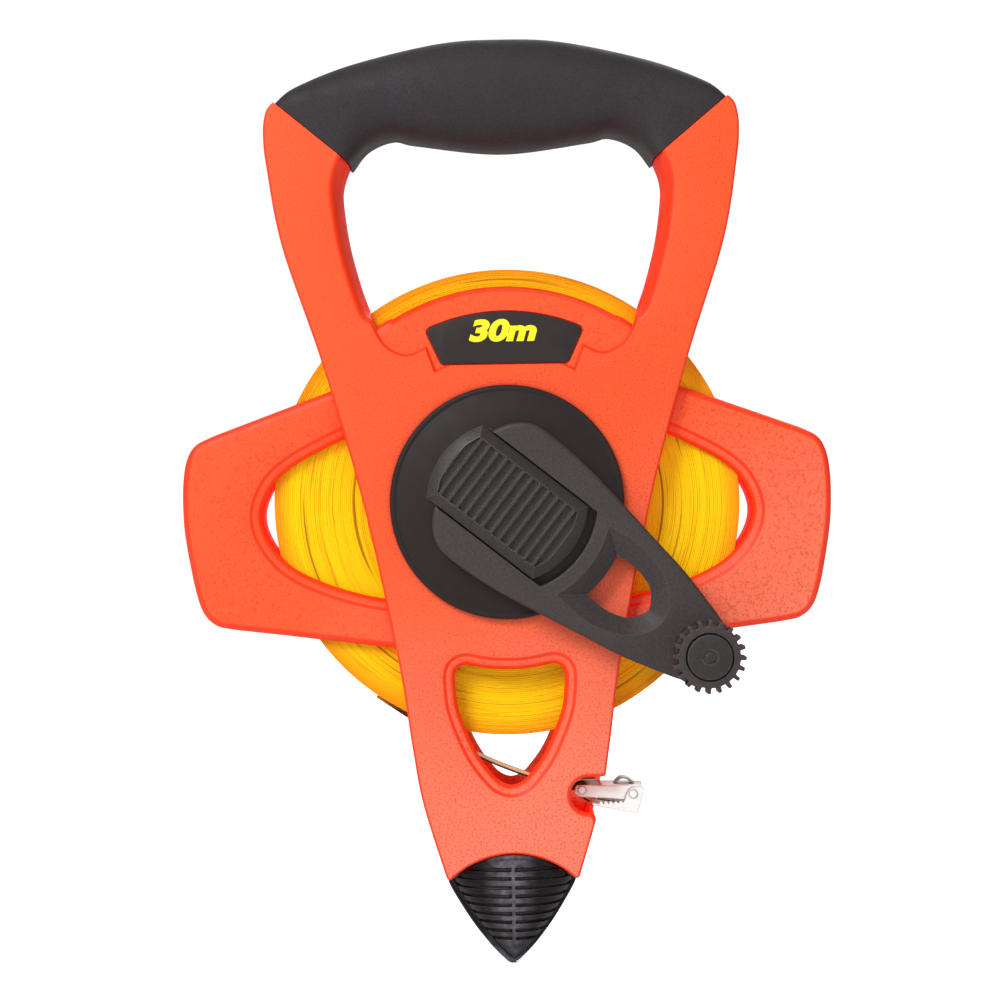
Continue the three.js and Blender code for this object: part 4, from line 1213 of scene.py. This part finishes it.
def make_slider():
    edge = [(0, -PAD_BACK), (0, -PAD_FRONT + 2.4), (0.15, -PAD_FRONT + 2.0), (0.55, -PAD_FRONT + 1.65),
            (3.0, -PAD_FRONT + 0.35), (3.5, -PAD_FRONT + 0.12), (3.9, -PAD_FRONT)]
    pad = band_plate("lock_slider_pad", PAD_R, PAD_HALF, edge)
    well = [(0.25, -PAD_FRONT + SLOT_DEPTH), (0, -PAD_FRONT), (-0.3, -PAD_FRONT - 1)]
    field = band_plate("field", RIB_FIELD_R, RIB_FIELD_HALF, well)
    ribs = []
    for i in range(RIBS):
        u = (i - (RIBS - 1) / 2) * RIB_PITCH
        flank = [(RIB_HALF + 0.2, SLOT_DEPTH + 0.2), (RIB_HALF - 0.1, 0.2), (RIB_HALF - 0.35, 0)]
        section = [(u - d, -PAD_FRONT + y) for d, y in flank]
        section += [(u + d, -PAD_FRONT + y) for d, y in reversed(flank)]
        rings = [[(x, y, v) for x, y in section] for v in (-RIB_FIELD_HALF - 1, RIB_FIELD_HALF + 1)]
        ribs.append(loft("rib", rings, along_crank))
    combine(field, ribs)
    spring = box_cutter(-16, 18, -24.4, -10, -12.5, -5.5, along_crank)
    combine(pad, [field, spring, disc_cutter(BOLT_R + GAP, -25, -10, (BOLT_AT, 0), along_crank, 32)])
    dress(pad, "lock", PAD_BLACK, ["lock_slider"], angle=24)


# ---------- knob

KNOB_TIP_R = 11.5
KNOB_ROOT_R = 9.7
KNOB_TEETH = 20
KNOB_FACE = 48.6
KNOB_HEAD = 40.0
KNOB_BACK = 26.8
KNOB_CAP_R = 7.1
TOOTH_HALF = 0.68


def gear_outline():
    out = []
    root_turn = math.degrees(math.asin(TOOTH_HALF / KNOB_ROOT_R))
    tip_turn = math.degrees(math.asin((TOOTH_HALF - 0.06) / KNOB_TIP_R))
    step = 360 / KNOB_TEETH
    for i in range(KNOB_TEETH):
        a = i * step
        corners = ((KNOB_ROOT_R + 0.2, root_turn), (KNOB_TIP_R - 0.22, tip_turn))
        out += arc(0, 0, KNOB_ROOT_R, a - step + root_turn + 1.2, a - root_turn - 1.2, 4)
        out += [arc(0, 0, r, a - turn, a, 1)[0] for r, turn in corners]
        out += arc(0, 0, KNOB_TIP_R, a - tip_turn + 1.0, a + tip_turn - 1.0, 2)
        out += [arc(0, 0, r, a + turn, a, 1)[0] for r, turn in reversed(corners)]
    return [(KNOB_AT + x, z) for x, z in out]


def make_knob():
    knob = slab("knob_grip", gear_outline(), rounded_both(-KNOB_FACE, -KNOB_HEAD, 0.2, 3), along_crank)
    waist = [(0.5, -KNOB_FACE + 2), (8.5, -KNOB_FACE + 2), (8.6, -KNOB_HEAD + 1)]
    waist += smooth([(8.6, -KNOB_HEAD + 1), (8.2, -34), (9.7, -30), (9.7, -27.6), (9.3, -KNOB_BACK)], 0.6)[1:]
    waist += [(0.5, -KNOB_BACK)]
    combine(knob, [turned("waist", waist, 96, (KNOB_AT, 0), along_crank)], "UNION")
    seat = [(0, -46.6), (0, -KNOB_FACE + 0.25), (-0.25, -KNOB_FACE), (-0.25, -60)]
    cap_ring = arc(KNOB_AT, 0, KNOB_CAP_R + 0.36, 0, 360, 96)[:-1]
    combine(knob, [disc_cutter(KNOB_PIN_R + 0.4, -47, -20, (KNOB_AT, 0), along_crank, 64),
                   slab("cutter", cap_ring, seat, along_crank)])
    dress(knob, "knob_grip", CRANK_BLACK, ["knob"])
    profile = [(0.02, -50.0), (0.9, -50.0), (1.35, -49.8), (1.5, -49.5), (1.55, -49.0), (2.3, -49.0),
               (2.5, -49.3), (6.6, -49.45), (6.9, -49.35), (KNOB_CAP_R, -49.05), (KNOB_CAP_R, -47.4),
               (0.02, -47.4)]
    cap = turned("knob_cap_disc", profile, 96, (KNOB_AT, 0), along_crank)
    dress(cap, "knob_grip", PAD_BLACK, ["knob_cap"])


# ---------- tape lead, clip and end hook

HOOK_PIN = (23.0, -95.0)
CLAW_PIN = (39.8, -96.4)
LOOP_IN = 1.5
CHEEK_OUT = 7.5
CLAW_OUT = 8.4
SHEET = 0.6
PIN_HOLE_R = 1.15
PIN_SHANK_R = 0.95
PIN_HEAD_R = 1.3


def from_pin(points):
    """Points given from the hook's pin, in the reel's coordinates."""
    return [(x + HOOK_PIN[0], z + HOOK_PIN[1]) for x, z in points]


def make_lead():
    """The free stretch of tape: a ribbon with softened edges, ending in a loop round the hook's pin."""
    route = smooth([(-43.9, -63.3), (-32.2, -71.2), (-21, -78), (-7, -85.4), (7.3, -91), (20, -94.7)], 0.7)
    half, thin = TAPE_HALF, 0.25
    section = [(-half, -0.1), (-half + 0.12, -thin), (half - 0.12, -thin), (half, -0.1), (half, 0.1),
               (half - 0.12, thin), (-half + 0.12, thin), (-half, 0.1)]
    rings = []
    for i, p in enumerate(route):
        a, b = route[max(i - 1, 0)], route[min(i + 1, len(route) - 1)]
        way = (Vector(b) - Vector(a)).normalized()
        rings.append([(p[0] - way.y * h, y, p[1] + way.x * h) for y, h in section])
    lead = loft("tape_free_end", rings)
    loop = turned("loop", bead(LOOP_IN + 1, LOOP_IN, -half, half, 0.15), 64, HOOK_PIN)
    bridge = box_cutter(HOOK_PIN[0] - 3.4, HOOK_PIN[0] - LOOP_IN - 0.2, -half, half, HOOK_PIN[1] - 0.1,
                        HOOK_PIN[1] + 0.5)
    tail = from_pin(straight((-1.6, -1.5), (2.6, -4.0), 0.6))
    drop = (Vector(tail[-1]) - Vector(tail[0])).normalized()
    rings = [[(x - drop.y * h, y, z + drop.x * h) for y, h in section] for x, z in tail]
    combine(lead, [loop, bridge, loft("tail", rings)], "UNION")
    dress(lead, "root", TAPE, ["tape_lead"])


def make_clip():
    x, z = HOOK_PIN
    outer = arc(x, z, 3.5, 165, 90, 24) + [(x + 4.6, z + 3.5)]
    inner = [(x + 4.6, z + 3.5 - SHEET)] + arc(x, z, 3.5 - SHEET, 90, 165, 24)
    clip = slab("end_clip", joined(outer, inner), rounded_both(-5.8, 5.8, 0.12, 2))
    dress(clip, "root", STEEL, ["tape_end_clip"])


def inset_line(line, distance):
    """The line moved to its right-hand side, in reverse order."""
    out = []
    for i, p in enumerate(line):
        way = Vector(line[min(i + 1, len(line) - 1)]) - Vector(line[max(i - 1, 0)])
        way.normalize()
        out.append((p[0] + way.y * distance, p[1] - way.x * distance))
    return out[::-1]


LUG_THICK = 0.7
LUG_HALF = 3.0


def make_hook():
    top = smooth([(-2, 1.2), (-1, 1.6), (2, 1.65), (6.3, 1.5), (13, 1.4), (19.4, 1.2)], 0.6)
    front = smooth([(19.4, 1.2), (20, 0.8), (19.8, -1.3), (19.2, -2.8), (18, -3.7), (16.4, -4),
                    (14.4, -3.6)], 0.4)
    foot = smooth([(14.4, -3.6), (10, -3), (4, -2.6), (0, -2.4), (-1.7, -1.8), (-2.5, -0.5),
                   (-2, 1.2)], 0.5)
    outline = from_pin(joined(top, front, foot))
    hook = slab("hook_stamping", outline, rounded_both(-CHEEK_OUT, CHEEK_OUT, 0.5, 4))
    inner = from_pin([(-6, 5.9), (6.3, 5.9), (6.3, 1.5 - SHEET), (26, 1.0 - SHEET), (26, -7.1), (-6, -7.1)])
    inner = joined(inner)
    y = CHEEK_OUT - SHEET
    combine(hook, [prism(inner, y, -y)]
            + [disc_cutter(PIN_HOLE_R, -FAR, FAR, pin, segments=40) for pin in (HOOK_PIN, CLAW_PIN)])
    dress(hook, "hook", NICKEL, ["hook_body"])
    over = smooth([(10.6, 1.3), (11.6, 2.7), (13.4, 3.7), (15.3, 3.3), (16.9, 2.1), (17.7, 1)], 0.4)
    lug = slab("hook_top_lug", from_pin(joined(over, inset_line(over, LUG_THICK))),
               rounded_both(-LUG_HALF, LUG_HALF, 0.15, 2))
    dress(lug, "hook", STEEL)


def make_claw():
    teeth = []
    for i in range(5):
        x = 5.5 + 1.6 * i
        teeth += [(x, -4.7 + 0.08 * i), (x + 0.55, -3.72 - 0.03 * i), (x + 0.85, -3.62 - 0.03 * i)]
    back = smooth([(13.6, -4.1), (14.2, -3), (14.8, -1.3), (16, 0.2), (17.6, 0.9), (20.2, 0.8),
                   (20.4, 0.5), (20.1, -1.6), (19.5, -4.1), (18.5, -7.5), (18, -7.9)], 0.5)
    outline = from_pin(joined([(3.4, -4.2), (4, -4.3)], teeth, back, [(3.4, -5.05)]))
    claw = slab("claw_stamping", outline, rounded_both(-CLAW_OUT, CLAW_OUT, 0.3, 3))
    inner = joined(from_pin([(-4, 3.9), (26, 3.9), (26, -8.8), (18.1, -7.25), (4.6, -4.7), (-4, -3)]))
    y = CLAW_OUT - SHEET
    combine(claw, [prism(inner, y, -y), disc_cutter(PIN_HOLE_R, -FAR, FAR, CLAW_PIN, segments=40)])
    dress(claw, "claw", NICKEL, ["hook_claw"])


def rivet(name, centre, half, head_in, node):
    """A pin with a low domed head at both ends."""
    rise = half - head_in - 0.25
    dome = [(PIN_HEAD_R * math.cos(math.radians(a)), half - rise + rise * math.sin(math.radians(a)))
            for a in range(0, 90, 15)]
    front = [(0.02, -half)] + [(r, -y) for r, y in reversed(dome)]
    front += [(PIN_HEAD_R, -head_in), (PIN_SHANK_R, -head_in)]
    back = [(PIN_SHANK_R, head_in), (PIN_HEAD_R, head_in)] + dome + [(0.02, half)]
    dress(turned(name, front + back, 48, centre), "hook", NICKEL, [node])


# ---------- pieces kept from the CAD


def dress_kept(material, *names):
    """Inner pieces whose shape is right keep their CAD mesh and get a better material."""
    for name in names:
        for slot in bpy.data.objects[name].material_slots:
            slot.material = material


make_frames()
make_grips()
make_label()
make_screws()
make_spike()
make_roll()
make_hub()
make_rear_cap()
make_arm()
make_slider()
make_knob()
make_lead()
make_clip()
make_hook()
make_claw()
rivet("hook_pin_rivet", HOOK_PIN, 8.2, CHEEK_OUT + 0.2, "hook_pin")
rivet("claw_pin_rivet", CLAW_PIN, 9.0, CLAW_OUT + 0.2, "claw_rivet")
dress_kept(ACETAL, "front_bushing", "rear_bushing", "lock_ring")
dress_kept(HUB_BLACK, "drum_core")
dress_kept(STEEL, "tape_anchor_clip", "drum_spindle", "crank_screw", "arm_screw_a", "arm_screw_b",
           "lock_bolt", "lock_spring", "knob_pin")

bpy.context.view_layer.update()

# ---------- room and light


FLOOR_HALF = 60.0
FLOOR_BELOW = 0.0004
PAPER, PAPER_SHADE = (0.9, 0.9, 0.9, 1.0), (0.88, 0.88, 0.88, 1.0)
WHITE = (1.0, 1.0, 1.0, 1.0)
FLOOR_LIFT, FLOOR_SEEN = 0.06, 0.72  # how much the floor adds to the light, and to what the camera sees
SKY_SEEN = 1.05
SKY_WARM = (1.0, 0.99, 0.98, 1.0)


def make_room():
    half, z = FLOOR_HALF, AXIS.z + SPIKE_TIP_Z * MM - FLOOR_BELOW
    mesh = bpy.data.meshes.new("floor")
    corners = [(-half, -half, z), (half, -half, z), (half, half, z), (-half, half, z)]
    mesh.from_pydata(corners, [], [(0, 1, 2, 3)])
    floor = bpy.data.objects.new("floor", mesh)
    bpy.context.scene.collection.objects.link(floor)
    m = Recipe("floor")
    seen = m.add("ShaderNodeLightPath").outputs["Is Camera Ray"]
    m.set(Base_Color=m.mix(m.patches(3.0), PAPER, PAPER_SHADE), Roughness=0.8, Specular_IOR_Level=0.0,
          Emission_Color=WHITE, Emission_Strength=m.spread(seen, 0.0, 1.0, FLOOR_LIFT, FLOOR_SEEN))
    mesh.materials.append(m.material)


def area_light(name, location, target, size, power):
    data = bpy.data.lights.new(name, "AREA")
    data.shape = "RECTANGLE"
    data.size, data.size_y = size
    data.energy = power
    light = bpy.data.objects.new(name, data)
    light.location = location
    light.rotation_euler = (Vector(target) - Vector(location)).to_track_quat("-Z", "Y").to_euler()
    bpy.context.scene.collection.objects.link(light)


# name, place from the drum axis, size and power
LIGHTS = (("key", (-0.9, -1.3, 1.1), (0.7, 0.7), 26.0),
          ("fill", (1.2, -1.1, 0.2), (1.0, 1.4), 3.0),
          ("back", (0.3, 1.4, 1.0), (1.0, 1.0), 6.0))
SKY_ASIDE = (("From Min", 0.4), ("From Max", 0.8), ("To Min", 0.56), ("To Max", 0.12))


def make_light():
    """Three soft lights, and a sky that is bright in front and behind and dim at the sides."""
    for name, (x, y, z), size, power in LIGHTS:
        area_light(name, (x, y, AXIS.z + z), (0.0, 0.0, AXIS.z), size, power)
    world = bpy.data.worlds.new("world")
    bpy.context.scene.world = world
    world.use_nodes = True
    nodes, links = world.node_tree.nodes, world.node_tree.links
    lit = nodes["Background"]
    lit.inputs["Color"].default_value = SKY_WARM
    place = nodes.new("ShaderNodeTexCoord")
    split = nodes.new("ShaderNodeSeparateXYZ")
    links.new(place.outputs["Generated"], split.inputs[0])
    sideways = nodes.new("ShaderNodeMath")
    sideways.operation = "ABSOLUTE"
    links.new(split.outputs["X"], sideways.inputs[0])
    level = nodes.new("ShaderNodeMapRange")
    for key, number in SKY_ASIDE:
        level.inputs[key].default_value = number
    links.new(sideways.outputs[0], level.inputs["Value"])
    links.new(level.outputs[0], lit.inputs["Strength"])
    seen = nodes.new("ShaderNodeBackground")
    seen.inputs["Color"].default_value = WHITE
    seen.inputs["Strength"].default_value = SKY_SEEN
    path = nodes.new("ShaderNodeLightPath")
    mix = nodes.new("ShaderNodeMixShader")
    links.new(path.outputs["Is Camera Ray"], mix.inputs[0])
    links.new(lit.outputs[0], mix.inputs[1])
    links.new(seen.outputs[0], mix.inputs[2])
    links.new(mix.outputs[0], nodes["World Output"].inputs["Surface"])
    bpy.context.scene.view_settings.view_transform = "Standard"


make_room()
make_light()
